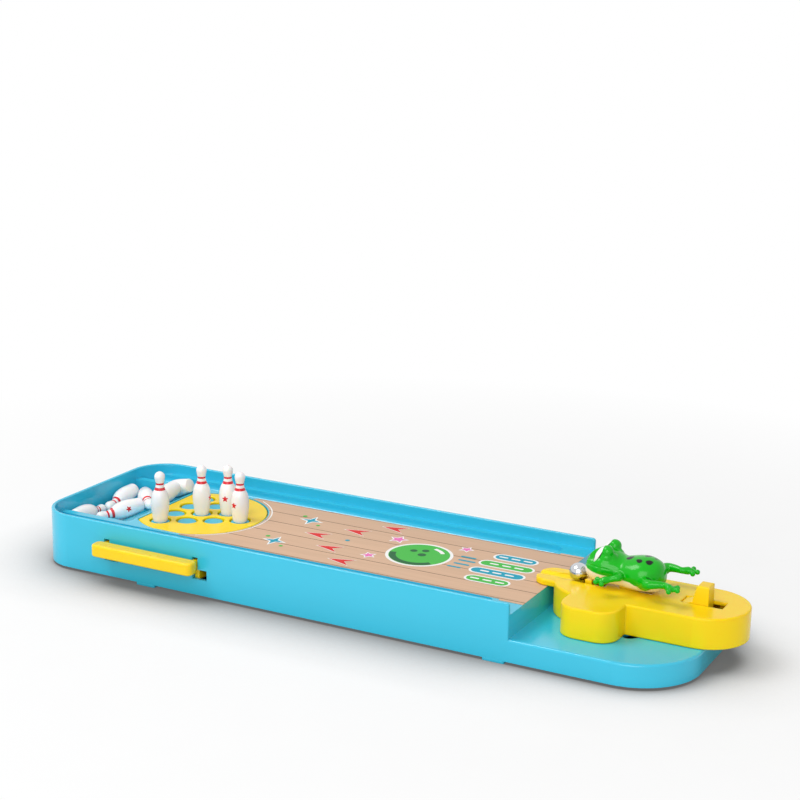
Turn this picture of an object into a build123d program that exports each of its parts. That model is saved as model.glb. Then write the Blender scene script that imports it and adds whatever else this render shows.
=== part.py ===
from build123d import *
from math import atan2, cos, radians, sin, sqrt, tan
import os

os.makedirs("parts", exist_ok=True)

# Tabletop bowling game. The lane runs along X, from the pin end to the launcher.
# The table is at Z = 0 and the launcher points towards -X, at the pins.

# Shared clearances
overrun = 3.0
rest_gap = 0.3
running_gap = 0.05
screw_gap = 0.15

# Tray: a moulded shell, a rimmed block with a low apron behind it
wall = 2.0
tray_width = 114.0
block_length = 288.2
apron_length = 86.8
rim_height = 31.5
deck_height = 25.4
apron_height = 13.1
foot_height = 1.5
pin_corner_radius = 22.0
apron_corner_radius = 34.0
rim_edge_radius = 0.7
rim_end_radius = 1.6
apron_edge_radius = 1.4

# Gutters beside the lane, each with a ledge between it and the rim
lane_width = 76.9
gutter_width = 12.05
gutter_depth = 5.0
gutter_floor_radius = 3.4
gutter_end_radius = 3.8
gutter_to_step = 15.7

# Ten pins of one shape
pin_height = 28.8
belly_radius = 5.1
pin_profile_shares = (
    (0.0, 0.74),
    (0.03, 0.79),
    (0.20, 0.93),
    (0.38, 1.0),
    (0.52, 0.90),
    (0.60, 0.74),
    (0.66, 0.55),
    (0.74, 0.44),
    (0.83, 0.50),
    (0.90, 0.575),
    (0.965, 0.43),
)
belly_height_share = 0.39

# Catcher at the pin end: a flat floor, then a slope up to the deck
pit_depth = 10.0
pit_length_share = 1.549
pit_width_share = 2.361
pit_flat_share = 0.478
lying_gap = 0.15

# Setter plate let into the deck, with a triangle of ten holes
plate_radius = 36.5
plate_centre = 72.9
plate_back = 24.5
plate_width = 71.0
plate_thickness = 3.0
plate_gap = 0.6
plate_edge = 0.4
hole_radius = 6.0
pin_pitch = 14.77
head_pin_offset = 25.1
row_count = 4
seat_width = 2.5
ear_radius = 3.4
ear_inset = 2.5
ear_angle = 58.0

# Pads that stand in the holes, all on one carrier under the plate
pad_radius = 5.1
pad_drop = 0.7
pad_edge = 0.3
carrier_thickness = 2.0
carrier_gap = 0.5
lift_travel = 4.5
post_radius = 3.0
post_spread = 12.0
post_from_centre = 16.0
carrier_ring_radius = 5.6
carrier_ring_height = 2.0

# Lift frame and the handle at the side
frame_floor_gap = 0.6
frame_thickness = 3.0
frame_bar_width = 6.0
cheek_thickness = 2.4
cheek_length = 10.2
cheek_height = 6.2
arm_thickness = 2.8
arm_height = 5.6
arm_bottom = 15.2
arm_spread = 28.7
hook_length = 8.7
hook_height = 5.8
handle_centre = 77.5
handle_length = 64.8
handle_reach = 10.5
handle_depth = 8.2
handle_height = 7.0
handle_corner_radius = 3.0
handle_edge_radius = 1.3
slot_side_gap = 0.4
slot_end_gap = 0.4
slot_headroom = 1.6
slot_foot_length = 5.65
slot_foot_height = 5.5

# Lift spring round a post on the bottom cover
spring_wire_radius = 0.4
lift_spring_radius = 3.6
lift_spring_turns = 6
spring_post_radius = 2.6
spring_post_height = 4.5

# Bottom cover, its feet and its screws
cover_thickness = 2.0
foot_length = 12.0
foot_width = 8.0
foot_from_pin_end = 73.7
foot_from_step = 7.8
apron_foot_radius = 4.0
apron_foot_inset = 23.0
apron_foot_spread = 30.0
boss_radius = 3.0
boss_spread = 44.5
boss_from_pin_end = 20.0
boss_middle = 150.0
boss_from_step = 26.2
boss_from_apron_end = 40.0
screw_radius = 1.0
screw_head_radius = 1.9
screw_head_height = 1.1
screw_bite = 6.0
recess_width = 0.6
recess_depth = 0.6

# Small screws of the plate, the carrier and the handle
small_screw_radius = 0.8
small_head_radius = 1.6
small_head_height = 1.0
plate_screw_bite = 2.0
post_screw_bite = 6.0

# Lane sticker
sticker_thickness = 0.2
sticker_margin = 0.25
sticker_ring_gap = 1.2
sticker_start = 82.7
sticker_corner = 4.6
sticker_corner_turn = 45.0
sticker_end_length = 13.2
sticker_end_width = 80.0

# Launcher: housing and base that turn on the apron about a hub
pivot_to_step = 23.8
launcher_radius = 22.35
launcher_straight = 56.0
launcher_height = 29.0
shell = 1.8
housing_edge_radius = 0.9
snout_reach = 32.3
snout_width = 20.4
snout_thickness = 3.0
snout_corner_radius = 7.5
lobe_start = 7.0
lobe_length = 30.0
lobe_reach = 40.0
lobe_corner_radius = 10.0
hub_radius = 5.0
guide_radius = 3.6
guide_offset = 33.5
guide_slot_width = 8.0
guide_slot_angle = 41.0
washer_thickness = 1.0
hub_washer_radius = 8.0
guide_washer_radius = 6.5
turn_screw_radius = 1.25
turn_head_radius = 2.4
turn_head_height = 1.2
turn_screw_bite = 4.0
base_thickness = 2.0
base_gap = 0.2
housing_boss_radius = 2.8
housing_boss_spread = 12.5
front_boss_reach = 12.0
rear_boss_share = 0.791
lobe_boss_drop = 30.0

# Steel ball and its groove
ball_radius = 4.75
ball_reach = 11.0
ball_rise = 3.5
groove_rib_width = 13.0
groove_rib_depth = 1.8
pocket_depth = 0.5
pocket_width = 8.8
pocket_start = 22.5
pocket_full = 17.0

# Striker slider with its hammer, frog post and finger tab
slide_travel = 7.0
slot_gap = 0.3
window_width = 9.2
window_front = 8.7
hammer_width = 7.0
hammer_length = 3.5
hammer_top = 30.5
slide_width = 13.0
slide_height = 6.3
slide_end = 59.0
slide_roof_length = 7.4
slide_roof_thickness = 1.0
rail_thickness = 1.5
rail_height = 4.6
post_front = 12.0
post_length = 10.0
post_width = 4.0
post_socket_depth = 1.5
tab_front = 45.0
tab_width = 8.6
tab_sink = 0.6
tab_foot_rise = 0.6
tab_foot_length = 5.4
tab_ramp_length = 2.2
tab_top_length = 6.1
tab_rise = 9.4
tab_edge_radius = 0.8

# Striker spring between the slider and a stop on the base
striker_spring_radius = 2.1
striker_spring_turns = 8
spring_stop_reach = 74.5
spring_stop_thickness = 1.4
spring_stop_width = 8.0

# Frog figure in two halves. Its tables are shares of the frog's length,
# measured from the tip of the nose, the middle plane and the housing's top.
frog_length = 41.2
frog_nose_reach = 6.2
frog_section_shares = (
    (0.005, 0.204, 0.087, 0.112),
    (0.068, 0.228, 0.175, 0.204),
    (0.163, 0.245, 0.214, 0.260),
    (0.260, 0.250, 0.226, 0.274),
    (0.369, 0.236, 0.206, 0.257),
    (0.478, 0.212, 0.187, 0.243),
    (0.636, 0.222, 0.210, 0.274),
    (0.782, 0.226, 0.214, 0.262),
    (0.903, 0.214, 0.192, 0.204),
    (0.976, 0.209, 0.136, 0.126),
    (1.0, 0.206, 0.061, 0.061),
)
frog_seam_shares = ((-0.05, 0.201), (0.345, 0.126), (0.563, 0.109), (1.1, 0.109))
brow_shares = (0.262, 0.129, 0.447)
brow_radius_share = 0.103
eye_shares = (0.192, 0.129, 0.388)
eye_radius_share = 0.085
arm_shares = ((0.471, 0.205, 0.231), (0.519, 0.350, 0.248), (0.408, 0.398, 0.223), (0.359, 0.437, 0.204))
finger_shares = ((0.286, 0.398, 0.192), (0.306, 0.495, 0.192), (0.388, 0.532, 0.192))
leg_shares = ((0.820, 0.195, 0.218), (0.893, 0.364, 0.252), (1.092, 0.311, 0.248), (1.155, 0.350, 0.233))
toe_shares = ((1.243, 0.282, 0.228), (1.257, 0.374, 0.228), (1.184, 0.456, 0.228))
limb_radius_share = 0.046
toe_radius_share = 0.022
toe_tip_radius_share = 0.032
frog_screw_radius = 1.1
frog_screw_bite = 8.0

# Where the pins stand and lie. A standing pin has a row and a place in its row.
# A lying pin has its belly's place in the catcher as shares of the pin's height,
# from the catcher's end and from the middle, then its heading and its tilt.
standing_pins = ((0, 0), (1, 1), (2, 1), (3, 0))
lying_pin_shares = (
    (0.212, -0.764, 92.0, -7.0),
    (0.762, -0.262, -117.5, -7.0),
    (0.198, 0.478, -87.0, -7.0),
    (0.694, 0.590, -50.0, 3.0),
    (1.146, 0.993, 175.0, -20.0),
    (1.318, 0.347, -90.0, -7.0),
)

# Levels and places worked out from the sizes
launcher_end = block_length + pivot_to_step + launcher_straight + launcher_radius
pin_end_x = -launcher_end / 2
lane_y = handle_reach / 2
half_tray = tray_width / 2
half_lane = lane_width / 2
apron_end = block_length + apron_length
gutter_floor = deck_height - gutter_depth
gutter_end = block_length - gutter_to_step
gutter_middle = half_lane + gutter_width / 2
pit_floor = deck_height - pit_depth
pit_length = pit_length_share * pin_height
pit_width = pit_width_share * pin_height
pit_end = wall + pit_length
pit_flat_end = wall + pit_flat_share * pit_length
pit_slope = atan2(pit_depth, pit_end - pit_flat_end)
seat_level = deck_height - plate_thickness
seat_bottom = seat_level - wall
pad_top = deck_height - pad_drop
carrier_top = seat_level - rest_gap
carrier_bottom = carrier_top - carrier_thickness
cover_top = foot_height + cover_thickness
frame_bottom = cover_top + lift_travel + frame_floor_gap
frame_top = frame_bottom + frame_thickness
arm_top = arm_bottom + arm_height
hook_bottom = arm_bottom - hook_height
slot_top = arm_top + slot_headroom
slot_bottom = arm_bottom - lift_travel - slot_end_gap
slot_width = arm_thickness + 2 * slot_side_gap
wall_inside = half_tray - wall
hook_start = wall_inside - rest_gap
hook_end = hook_start - hook_length
cheek_start = hook_start - slot_end_gap
handle_screw_line = hook_start - hook_length / 2
handle_screw_level = hook_bottom + hook_height / 2
row_pitch = pin_pitch * sqrt(3) / 2
pivot_x = block_length + pivot_to_step
housing_bottom = apron_height + rest_gap
base_top = housing_bottom + base_thickness
ceiling = launcher_height - shell
hub_bottom = apron_height - wall - rest_gap
ball_level = launcher_height + ball_rise
slide_bottom = base_top + rest_gap
slide_top = slide_bottom + slide_height
hammer_front = -ball_reach + ball_radius + rest_gap
window_back = hammer_front + hammer_length + slide_travel + slot_gap
tab_length = tab_foot_length + tab_ramp_length + tab_top_length
striker_spring_level = base_top + rest_gap + striker_spring_radius + spring_wire_radius
rear_boss_reach = rear_boss_share * (launcher_straight + launcher_radius)
frog_post_centre = post_front + post_length / 2
frog_seam_level = launcher_height + frog_seam_shares[2][1] * frog_length
boss_places = [
    (x, side * boss_spread)
    for x in (
        boss_from_pin_end,
        boss_middle,
        block_length - boss_from_step,
        apron_end - boss_from_apron_end,
    )
    for side in (-1, 1)
]
post_places = [
    (plate_centre + end * post_from_centre, side * post_spread) for end in (-1, 1) for side in (-1, 1)
]
ear_reach = plate_radius - seat_width - ear_inset
ear_places = [
    (plate_centre + ear_reach * cos(radians(angle)), ear_reach * sin(radians(angle)))
    for angle in (-ear_angle, ear_angle)
] + [(plate_centre - plate_back + seat_width + ear_inset / 2, 0)]
foot_places = [
    (x, side * (half_tray - foot_width / 2))
    for x in (foot_from_pin_end, block_length - foot_from_step)
    for side in (-1, 1)
]
apron_foot_places = [(apron_end - apron_foot_inset, side * apron_foot_spread) for side in (-1, 1)]
housing_boss_places = [
    (x, side * housing_boss_spread) for x in (-front_boss_reach, rear_boss_reach) for side in (-1, 1)
] + [(lobe_length / 2 - lobe_start, -lobe_boss_drop)]
handle_arm_places = [handle_centre - arm_spread, handle_centre + arm_spread]
hole_places = {
    (row, place): (plate_centre + head_pin_offset - row * row_pitch, (place - row / 2) * pin_pitch)
    for row in range(row_count)
    for place in range(row + 1)
}


def level(height):
    """Plane at a height, its origin at the pin end on the lane's centre line."""
    return Plane(origin=(pin_end_x, lane_y, height))


def launcher_level(height):
    """Plane at a height, its origin over the launcher's hub."""
    return Plane(origin=(pin_end_x + pivot_x, lane_y, height))


def side_plane(origin_x):
    """Upright plane through the lane's centre line. Its x runs along X and its y runs up."""
    return Plane(origin=(pin_end_x + origin_x, lane_y, 0), x_dir=(1, 0, 0), z_dir=(0, -1, 0))


def cross_plane(origin_x, height):
    """Upright plane across the lane. Its x runs along Y and its y runs up."""
    return Plane(origin=(pin_end_x + origin_x, lane_y, height), x_dir=(0, 1, 0), z_dir=(1, 0, 0))


def frog_point(shares, side=1):
    """Point on the frog from its shares, on the far or the near side."""
    along, across, up = shares
    return Vector(
        pin_end_x + pivot_x - frog_nose_reach + along * frog_length,
        lane_y + side * across * frog_length,
        launcher_height + up * frog_length,
    )


def block_outline(inset):
    """Rimmed block in plan, round at the pin end."""
    with BuildSketch() as outline:
        with Locations((block_length / 2, 0)):
            Rectangle(block_length - 2 * inset, tray_width - 2 * inset)
        fillet(outline.vertices().group_by(Axis.X)[0], pin_corner_radius - inset)
    return outline.sketch


def footprint(inset):
    """Whole tray in plan, with the apron's wide round corners."""
    with BuildSketch() as outline:
        with Locations((apron_end / 2, 0)):
            Rectangle(apron_end - 2 * inset, tray_width - 2 * inset)
        fillet(outline.vertices().group_by(Axis.X)[0], pin_corner_radius - inset)
        fillet(outline.vertices().group_by(Axis.X)[-1], apron_corner_radius - inset)
    return outline.sketch


def basin_outline():
    """Inside of the rim, open at the step."""
    with BuildSketch() as outline:
        with Locations(((block_length + overrun + wall) / 2, 0)):
            Rectangle(block_length + overrun - wall, tray_width - 2 * wall)
        fillet(outline.vertices().group_by(Axis.X)[0], pin_corner_radius - wall)
    return outline.sketch


def gutter_outline(growth):
    """Both gutters in plan. They end on the rim's curve and short of the step."""
    length = gutter_end + growth
    with BuildSketch() as outline:
        with Locations((length / 2, gutter_middle), (length / 2, -gutter_middle)):
            RectangleRounded(length, gutter_width + 2 * growth, gutter_end_radius + growth)
        with Locations((block_length / 2, 0)):
            add(block_outline(wall - growth).moved(Location((-block_length / 2, 0))), mode=Mode.INTERSECT)
    return outline.sketch


def plate_outline(growth):
    """Setter plate in plan, a disc cut flat at its back and at both sides."""
    half_length = (plate_back + growth + plate_radius + overrun) / 2
    with BuildSketch() as outline:
        with Locations((plate_centre, 0)):
            Circle(plate_radius + growth)
        with Locations((plate_centre - plate_back - growth + half_length, 0)):
            Rectangle(2 * half_length, plate_width + 2 * growth, mode=Mode.INTERSECT)
    return outline.sketch


def launcher_outline(inset):
    """Launcher in plan, a stadium with a round lobe on the near side."""
    with BuildSketch() as outline:
        with Locations((launcher_straight / 2, 0)):
            SlotCenterToCenter(launcher_straight, 2 * (launcher_radius - inset))
        with Locations((lobe_length / 2 - lobe_start, -(lobe_reach - inset) / 2)):
            RectangleRounded(lobe_length - 2 * inset, lobe_reach - inset, lobe_corner_radius - inset)
    return outline.sketch


def guide_slot():
    """Curved slot in the apron about the launcher's hub."""
    with BuildSketch() as outline:
        with Locations((pivot_x, 0)):
            SlotArc(
                CenterArc((0, 0), guide_offset, -guide_slot_angle, 2 * guide_slot_angle),
                guide_slot_width,
            )
    return outline.sketch


def gutter_space():
    """Room inside both gutters, round where the sides meet the floor."""
    with BuildPart() as space:
        with BuildSketch(cross_plane(0, gutter_floor)):
            for side in (-1, 1):
                with Locations((side * gutter_middle, (gutter_depth + overrun) / 2)):
                    Rectangle(gutter_width, gutter_depth + overrun)
        extrude(amount=gutter_end)
        fillet(space.edges().group_by(Axis.Z)[0].filter_by(Axis.X), gutter_floor_radius)
        with BuildSketch(level(gutter_floor)):
            add(gutter_outline(0))
        extrude(amount=gutter_depth + overrun, mode=Mode.INTERSECT)
    return space.part


# Tray
with BuildPart() as tray:
    with BuildSketch(level(foot_height)):
        add(footprint(0))
    extrude(amount=apron_height - foot_height)
    fillet(tray.edges().group_by(Axis.Z)[-1], apron_edge_radius)
    with BuildSketch(level(foot_height)):
        add(block_outline(0))
    extrude(amount=rim_height - foot_height)
    with BuildSketch(level(deck_height)):
        add(basin_outline())
    extrude(amount=rim_height - deck_height + overrun, mode=Mode.SUBTRACT)
    fillet(
        tray.edges().group_by(Axis.Z)[-1].filter_by(Axis.Y).group_by(Axis.X)[-1],
        rim_end_radius,
    )
    fillet(tray.edges().group_by(Axis.Z)[-1].filter_by(Axis.Y, reverse=True), rim_edge_radius)
    # underside
    with BuildSketch(level(foot_height)):
        add(footprint(wall))
    extrude(amount=apron_height - wall - foot_height, mode=Mode.SUBTRACT)
    with BuildSketch(level(foot_height)):
        add(block_outline(wall))
    extrude(amount=deck_height - wall - foot_height, mode=Mode.SUBTRACT)
    # troughs, plate collar and catcher
    with BuildSketch(level(gutter_floor - wall)):
        add(gutter_outline(wall))
    extrude(amount=gutter_depth + wall)
    with BuildSketch(level(seat_bottom)):
        add(plate_outline(plate_gap + wall))
    extrude(amount=deck_height - seat_bottom)
    with BuildSketch(side_plane(0)):
        with BuildLine():
            Polyline(
                (wall / 2, deck_height),
                (wall / 2, pit_floor - wall),
                (pit_flat_end + wall * tan(pit_slope / 2), pit_floor - wall),
                (pit_end + wall / sin(pit_slope), deck_height),
                close=True,
            )
        make_face()
    extrude(amount=half_lane, both=True)
    # hollows from above
    add(gutter_space(), mode=Mode.SUBTRACT)
    with BuildSketch(side_plane(0)):
        with BuildLine():
            Polyline(
                (wall, deck_height + overrun),
                (wall, pit_floor),
                (pit_flat_end, pit_floor),
                (pit_end, deck_height),
                (pit_end, deck_height + overrun),
                close=True,
            )
        make_face()
    extrude(amount=pit_width / 2, both=True, mode=Mode.SUBTRACT)
    with BuildSketch(level(seat_level)):
        add(plate_outline(plate_gap))
    extrude(amount=plate_thickness + overrun, mode=Mode.SUBTRACT)
    with BuildSketch(level(seat_level)):
        add(plate_outline(-seat_width))
    extrude(amount=-wall - overrun, mode=Mode.SUBTRACT)
    # ears that carry the plate's screws
    with BuildSketch(level(seat_bottom)):
        with Locations(*ear_places):
            Circle(ear_radius)
        add(plate_outline(0), mode=Mode.INTERSECT)
    extrude(amount=wall)
    with BuildSketch(level(seat_bottom)):
        with Locations(*ear_places):
            Circle(small_screw_radius + screw_gap)
    extrude(amount=wall, mode=Mode.SUBTRACT)
    # slots for the handle's arms
    with BuildSketch(side_plane(0).offset(hook_start - wall / 2 + rest_gap - running_gap)):
        with Locations(*[(x, (slot_bottom + slot_top) / 2) for x in handle_arm_places]):
            Rectangle(slot_width, slot_top - slot_bottom)
        with Locations(
            *[
                (x + slot_foot_length / 2, slot_bottom + slot_foot_height / 2)
                for x in handle_arm_places
            ]
        ):
            Rectangle(slot_width + slot_foot_length, slot_foot_height)
    extrude(amount=2 * wall + overrun, mode=Mode.SUBTRACT)
    # hub hole and curved guide slot
    with BuildSketch(level(apron_height + overrun)):
        with Locations((pivot_x, 0)):
            Circle(hub_radius + running_gap)
        add(guide_slot())
    extrude(amount=-wall - 2 * overrun, mode=Mode.SUBTRACT)
    # bosses for the cover's screws
    with BuildSketch(level(cover_top)):
        with Locations(*boss_places[:-2]):
            Circle(boss_radius)
    extrude(amount=gutter_floor - wall / 2 - cover_top)
    with BuildSketch(level(cover_top)):
        with Locations(*boss_places[-2:]):
            Circle(boss_radius)
    extrude(amount=apron_height - wall / 2 - cover_top)
    with BuildSketch(level(cover_top)):
        with Locations(*boss_places):
            Circle(screw_radius + running_gap)
    extrude(amount=screw_bite, mode=Mode.SUBTRACT)
tray.part.label = "tray"
export_step(tray.part, "parts/tray.step")


# Bottom cover with its feet and the post of the lift spring
with BuildPart() as bottom_cover:
    with BuildSketch(level(foot_height)):
        add(footprint(wall + rest_gap))
    extrude(amount=cover_thickness)
    with BuildSketch(level(0)):
        with Locations(*foot_places):
            RectangleRounded(foot_length, foot_width, wall / 2)
        with Locations(*apron_foot_places):
            Circle(apron_foot_radius)
    extrude(amount=foot_height)
    with BuildSketch(level(cover_top)):
        with Locations((plate_centre, 0)):
            Circle(spring_post_radius)
    extrude(amount=spring_post_height)
    with BuildSketch(level(0)):
        with Locations(*boss_places):
            Circle(screw_radius + screw_gap)
    extrude(amount=cover_top, mode=Mode.SUBTRACT)
    with BuildSketch(level(0)):
        with Locations(*boss_places):
            Circle(screw_head_radius + screw_gap)
    extrude(amount=foot_height + screw_head_height, mode=Mode.SUBTRACT)
bottom_cover.part.label = "bottom_cover"
export_step(bottom_cover.part, "parts/bottom_cover.step")


# Eight screws that hold the bottom cover
with BuildPart() as cover_screws:
    with BuildSketch(level(foot_height)):
        with Locations(*boss_places):
            Circle(screw_head_radius)
    extrude(amount=screw_head_height)
    with BuildSketch(level(foot_height)):
        with Locations(*boss_places):
            Circle(screw_radius)
    extrude(amount=cover_thickness + screw_bite - rest_gap)
    with BuildSketch(level(foot_height)):
        with Locations(*boss_places):
            Rectangle(2 * screw_radius, recess_width)
            Rectangle(recess_width, 2 * screw_radius)
    extrude(amount=recess_depth, mode=Mode.SUBTRACT)
cover_screws.part.label = "cover_screws"
export_step(cover_screws.part, "parts/cover_screws.step")


# Printed sheet stuck on the lane
with BuildPart() as lane_sticker:
    with BuildSketch(level(deck_height)):
        with Locations(((sticker_start + block_length) / 2, 0)):
            Rectangle(block_length - sticker_start, lane_width - 2 * sticker_margin)
        with Locations((block_length - sticker_end_length / 2, 0)):
            Rectangle(sticker_end_length, sticker_end_width)
        with Locations((sticker_start, half_lane - sticker_margin)):
            Rectangle(sticker_corner, sticker_corner, rotation=sticker_corner_turn, mode=Mode.SUBTRACT)
        with Locations((plate_centre, 0)):
            Circle(plate_radius + sticker_ring_gap, mode=Mode.SUBTRACT)
    extrude(amount=sticker_thickness)
lane_sticker.part.label = "lane_sticker"
export_step(lane_sticker.part, "parts/lane_sticker.step")


# Setter plate with its ten holes
with BuildPart() as setter_plate:
    with BuildSketch(level(seat_level)):
        add(plate_outline(0))
        with Locations(*hole_places.values()):
            Circle(hole_radius, mode=Mode.SUBTRACT)
    extrude(amount=plate_thickness)
    chamfer(setter_plate.edges().group_by(Axis.Z)[-1], plate_edge)
    with BuildSketch(level(seat_level)):
        with Locations(*ear_places):
            Circle(small_screw_radius + running_gap)
    extrude(amount=plate_screw_bite, mode=Mode.SUBTRACT)
setter_plate.part.label = "setter_plate"
export_step(setter_plate.part, "parts/setter_plate.step")


# Three screws that hold the setter plate from below
with BuildPart() as plate_screws:
    with BuildSketch(level(seat_bottom)):
        with Locations(*ear_places):
            Circle(small_head_radius)
    extrude(amount=-small_head_height)
    with BuildSketch(level(seat_bottom)):
        with Locations(*ear_places):
            Circle(small_screw_radius)
    extrude(amount=wall + plate_screw_bite - rest_gap / 2)
plate_screws.part.label = "plate_screws"
export_step(plate_screws.part, "parts/plate_screws.step")


# Pads and their carrier
with BuildPart() as pin_pads:
    with BuildSketch(level(carrier_bottom)):
        add(plate_outline(-seat_width - carrier_gap))
        with Locations(*ear_places):
            Circle(ear_radius + carrier_gap, mode=Mode.SUBTRACT)
    extrude(amount=carrier_thickness)
    with BuildSketch(level(carrier_top)):
        with Locations(*hole_places.values()):
            Circle(pad_radius)
    extrude(amount=pad_top - carrier_top)
    chamfer(pin_pads.edges().group_by(Axis.Z)[-1], pad_edge)
    with BuildSketch(level(carrier_bottom)):
        with Locations(*post_places):
            Circle(post_radius)
    extrude(amount=frame_top - carrier_bottom)
    with BuildSketch(level(carrier_bottom)):
        with Locations((plate_centre, 0)):
            Circle(carrier_ring_radius)
            Circle(lift_spring_radius + 2 * spring_wire_radius, mode=Mode.SUBTRACT)
    extrude(amount=-carrier_ring_height)
    with BuildSketch(level(frame_top)):
        with Locations(*post_places):
            Circle(small_screw_radius + running_gap)
    extrude(amount=post_screw_bite, mode=Mode.SUBTRACT)
pin_pads.part.label = "pin_pads"
export_step(pin_pads.part, "parts/pin_pads.step")


# Lift frame: two beams, two cross bars and a cheek for each of the handle's arms
with BuildPart() as lift_frame:
    beam_end = post_spread + frame_bar_width / 2
    beam_start = -hook_end - frame_bar_width / 4
    inner = arm_spread - arm_thickness / 2
    with BuildSketch(level(frame_bottom)):
        with Locations(
            (handle_centre - inner + frame_bar_width / 2, (beam_end + beam_start) / 2),
            (handle_centre + inner - frame_bar_width / 2, (beam_end + beam_start) / 2),
        ):
            Rectangle(frame_bar_width, beam_end - beam_start)
        with Locations((handle_centre, post_spread), (handle_centre, -post_spread)):
            Rectangle(2 * inner, frame_bar_width)
    extrude(amount=frame_thickness)
    with BuildSketch(level(frame_bottom)):
        with Locations(
            (handle_centre - inner + cheek_thickness / 2, cheek_length / 2 - cheek_start),
            (handle_centre + inner - cheek_thickness / 2, cheek_length / 2 - cheek_start),
        ):
            Rectangle(cheek_thickness, cheek_length)
    extrude(amount=cheek_height)
    with BuildSketch(level(frame_top)):
        with Locations(*post_places):
            Circle(small_screw_radius + screw_gap)
    extrude(amount=-frame_thickness, mode=Mode.SUBTRACT)
    with BuildSketch(level(frame_bottom)):
        with Locations(*post_places):
            Circle(small_head_radius + screw_gap)
    extrude(amount=small_head_height, mode=Mode.SUBTRACT)
    with BuildSketch(cross_plane(handle_centre, handle_screw_level)):
        with Locations((-handle_screw_line, 0)):
            Circle(small_screw_radius + screw_gap)
    extrude(amount=inner, both=True, mode=Mode.SUBTRACT)
lift_frame.part.label = "lift_frame"
export_step(lift_frame.part, "parts/lift_frame.step")


# Four screws that hold the carrier on the frame
with BuildPart() as pad_screws:
    with BuildSketch(level(frame_bottom)):
        with Locations(*post_places):
            Circle(small_head_radius)
    extrude(amount=small_head_height)
    with BuildSketch(level(frame_bottom)):
        with Locations(*post_places):
            Circle(small_screw_radius)
    extrude(amount=frame_thickness + post_screw_bite - rest_gap)
pad_screws.part.label = "pad_screws"
export_step(pad_screws.part, "parts/pad_screws.step")


# Lift handle: a bar outside the tray and two arms that hook under the gutter
with BuildPart() as lift_handle:
    bar_top = arm_top + slot_headroom - slot_end_gap
    bar_outside = half_tray + handle_reach
    with BuildSketch(level(bar_top)):
        with Locations((handle_centre, handle_depth / 2 - bar_outside)):
            RectangleRounded(handle_length, handle_depth, handle_corner_radius)
    extrude(amount=-handle_height)
    fillet(
        lift_handle.edges().group_by(Axis.Z)[-1] + lift_handle.edges().group_by(Axis.Z)[0],
        handle_edge_radius,
    )
    with BuildSketch(cross_plane(handle_centre - arm_spread - arm_thickness / 2, 0)):
        with BuildLine():
            Polyline(
                (handle_depth / 2 - bar_outside, arm_top),
                (-hook_start + arm_thickness / 2, arm_top),
                (-hook_start + arm_thickness / 2, arm_bottom),
                (-hook_end, arm_bottom),
                (-hook_end, hook_bottom),
                (-hook_start, hook_bottom),
                (-hook_start, arm_bottom),
                (handle_depth / 2 - bar_outside, arm_bottom),
                close=True,
            )
        make_face()
    extrude(amount=arm_thickness)
    with BuildSketch(cross_plane(handle_centre + arm_spread - arm_thickness / 2, 0)):
        with BuildLine():
            Polyline(
                (handle_depth / 2 - bar_outside, arm_top),
                (-hook_start + arm_thickness / 2, arm_top),
                (-hook_start + arm_thickness / 2, arm_bottom),
                (-hook_end, arm_bottom),
                (-hook_end, hook_bottom),
                (-hook_start, hook_bottom),
                (-hook_start, arm_bottom),
                (handle_depth / 2 - bar_outside, arm_bottom),
                close=True,
            )
        make_face()
    extrude(amount=arm_thickness)
    with BuildSketch(cross_plane(handle_centre, handle_screw_level)):
        with Locations((-handle_screw_line, 0)):
            Circle(small_screw_radius + running_gap)
    extrude(amount=arm_spread + arm_thickness / 4, both=True, mode=Mode.SUBTRACT)
lift_handle.part.label = "lift_handle"
export_step(lift_handle.part, "parts/lift_handle.step")


# Two screws that hold the handle's arms to the frame
with BuildPart() as handle_screws:
    head_plane = arm_spread - arm_thickness / 2 - cheek_thickness
    for side in (-1, 1):
        with BuildSketch(cross_plane(handle_centre + side * head_plane, handle_screw_level)):
            with Locations((-handle_screw_line, 0)):
                Circle(small_head_radius)
        extrude(amount=-side * small_head_height)
        with BuildSketch(cross_plane(handle_centre + side * head_plane, handle_screw_level)):
            with Locations((-handle_screw_line, 0)):
                Circle(small_screw_radius)
        extrude(amount=side * (cheek_thickness + arm_thickness / 2))
handle_screws.part.label = "handle_screws"
export_step(handle_screws.part, "parts/handle_screws.step")


def coil_profile(radius, length, turns):
    """Half section of a close coil, ridged outside and plain inside, from its foot up."""
    pitch = length / turns
    bore = radius - spring_wire_radius
    valley = radius - spring_wire_radius / 2
    ridges = [
        point
        for turn in range(turns)
        for point in ((valley, turn * pitch), (radius + spring_wire_radius, (turn + 0.5) * pitch))
    ]
    with BuildSketch() as profile:
        with BuildLine():
            Polyline((bore, 0), *ridges, (valley, length), (bore, length), close=True)
        make_face()
    return profile.sketch


# Lift spring
with BuildPart() as lift_spring:
    with BuildSketch(side_plane(plate_centre)):
        with Locations((0, cover_top)):
            add(coil_profile(lift_spring_radius, carrier_bottom - cover_top, lift_spring_turns))
    revolve(axis=Axis((pin_end_x + plate_centre, lane_y, 0), (0, 0, 1)))
lift_spring.part.label = "lift_spring"
export_step(lift_spring.part, "parts/lift_spring.step")


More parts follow.
